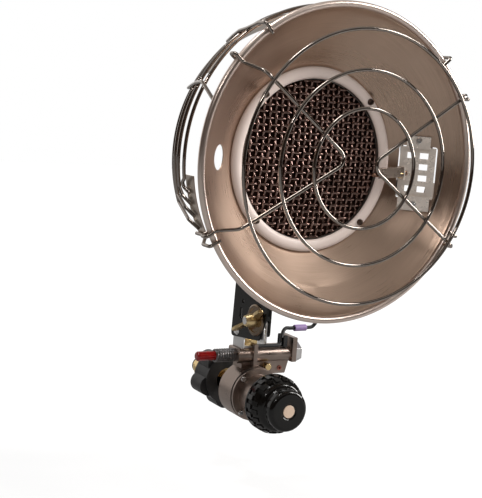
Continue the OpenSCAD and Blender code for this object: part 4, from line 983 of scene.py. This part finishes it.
# ---------------------------------------------------------------------------
# Pieces that keep their solids' shape
# ---------------------------------------------------------------------------
# Each piece with its finish and the width of its eased edges
FINISHES = (
    ("collar_screws", dark_screw, 0.0002), ("inner_screen", hot_plate_and_shade, 0.0002),
    ("burner_gasket", fibre, 0.0002), ("burner_cup", steel_cup, 0.0003),
    ("venturi_tube", dark_tube, 0.0003), ("venturi_screws", zinc_bright, 0.0002),
    ("burner_bracket", black_gloss, 0.0005), ("bracket_screws", zinc_bright, 0.0002),
    ("hoop_bands", tan_satin, 0.0003), ("rear_deflector", tan_satin, 0.0003),
    ("thermocouple_bracket", pale_satin, 0.0003), ("thermocouple_rivets", zinc_bright, 0.0002),
    ("thermocouple_probe", stained_copper, 0.0002), ("thermocouple_nut", brass, 0.0003),
    ("lead_sleeve", violet_sleeve, 0.0002), ("base_bracket", zinc_satin, 0.0004),
    ("pivot_rivets", zinc_bright, 0.0003), ("wing_stud", zinc_bright, 0.0003),
    ("clamp_washer", dark_washer, 0.0002), ("wing_nut", brass_cast, 0.0007),
    ("jet_holder", brass, 0.0003), ("gas_jet", brass, 0.0002),
    ("valve_body", cast_alloy, 0.0007), ("button_barrel", dark_alloy, 0.0002),
    ("push_button", red_button, 0.0004), ("button_spindle", zinc_bright, 0.0002),
    ("button_spring", zinc_bright, 0.0), ("safety_poppet", zinc_bright, 0.0002),
    ("poppet_spring", zinc_bright, 0.0), ("magnet_unit", zinc_satin, 0.0002),
    ("magnet_nut", zinc_satin, 0.0004), ("test_plug", brass, 0.0003),
    ("set_screw", brown_seal, 0.0002), ("lead_boot", black_rubber, 0.0006),
    ("regulator_bonnet", cast_alloy, 0.0004), ("bonnet_screws", zinc_bright, 0.0002),
    ("diaphragm", black_rubber, 0.0001), ("diaphragm_plate", zinc_bright, 0.0002),
    ("regulator_poppet", brass, 0.0002), ("regulator_spring", zinc_bright, 0.0),
    ("spring_seat", zinc_bright, 0.0002), ("adjusting_screw", zinc_satin, 0.0002),
    ("knob", black_moulded, 0.0005), ("knob_cap", black_moulded, 0.0003),
    ("knob_dot", beige_dot, 0.0002), ("inlet_stem", brass, 0.0003),
    ("nose_seal", black_rubber, 0.0003), ("inlet_filter", brass, 0.0002),
    ("hand_nut", black_matte, 0.0012), ("threaded_shank", brass, 0.0004),
)
dressed = {node: dress(node, look, edge) for node, look, edge in FINISHES}
# Each spring with the joint that presses it, its axis, the place it stands on and the joint's travel
SPRINGS = (
    ("button_spring", "button_press", 0, -0.0175, 0.005),
    ("poppet_spring", "poppet_slide", 0, 0.0201, 0.005),
    ("regulator_spring", "seat_slide", 1, -0.0927, 0.001),
)


def compress(node, joint, along, seat, travel):
    """Gives a coil spring a mesh of its own; it is not made shorter here."""
    axis, anchor = [0.0, 0.0, 0.0], [0.0, 0.0, 0.0]
    axis[along], anchor[along] = 1.0, seat
    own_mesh(dressed[node])


for spring in SPRINGS:
    compress(*spring)
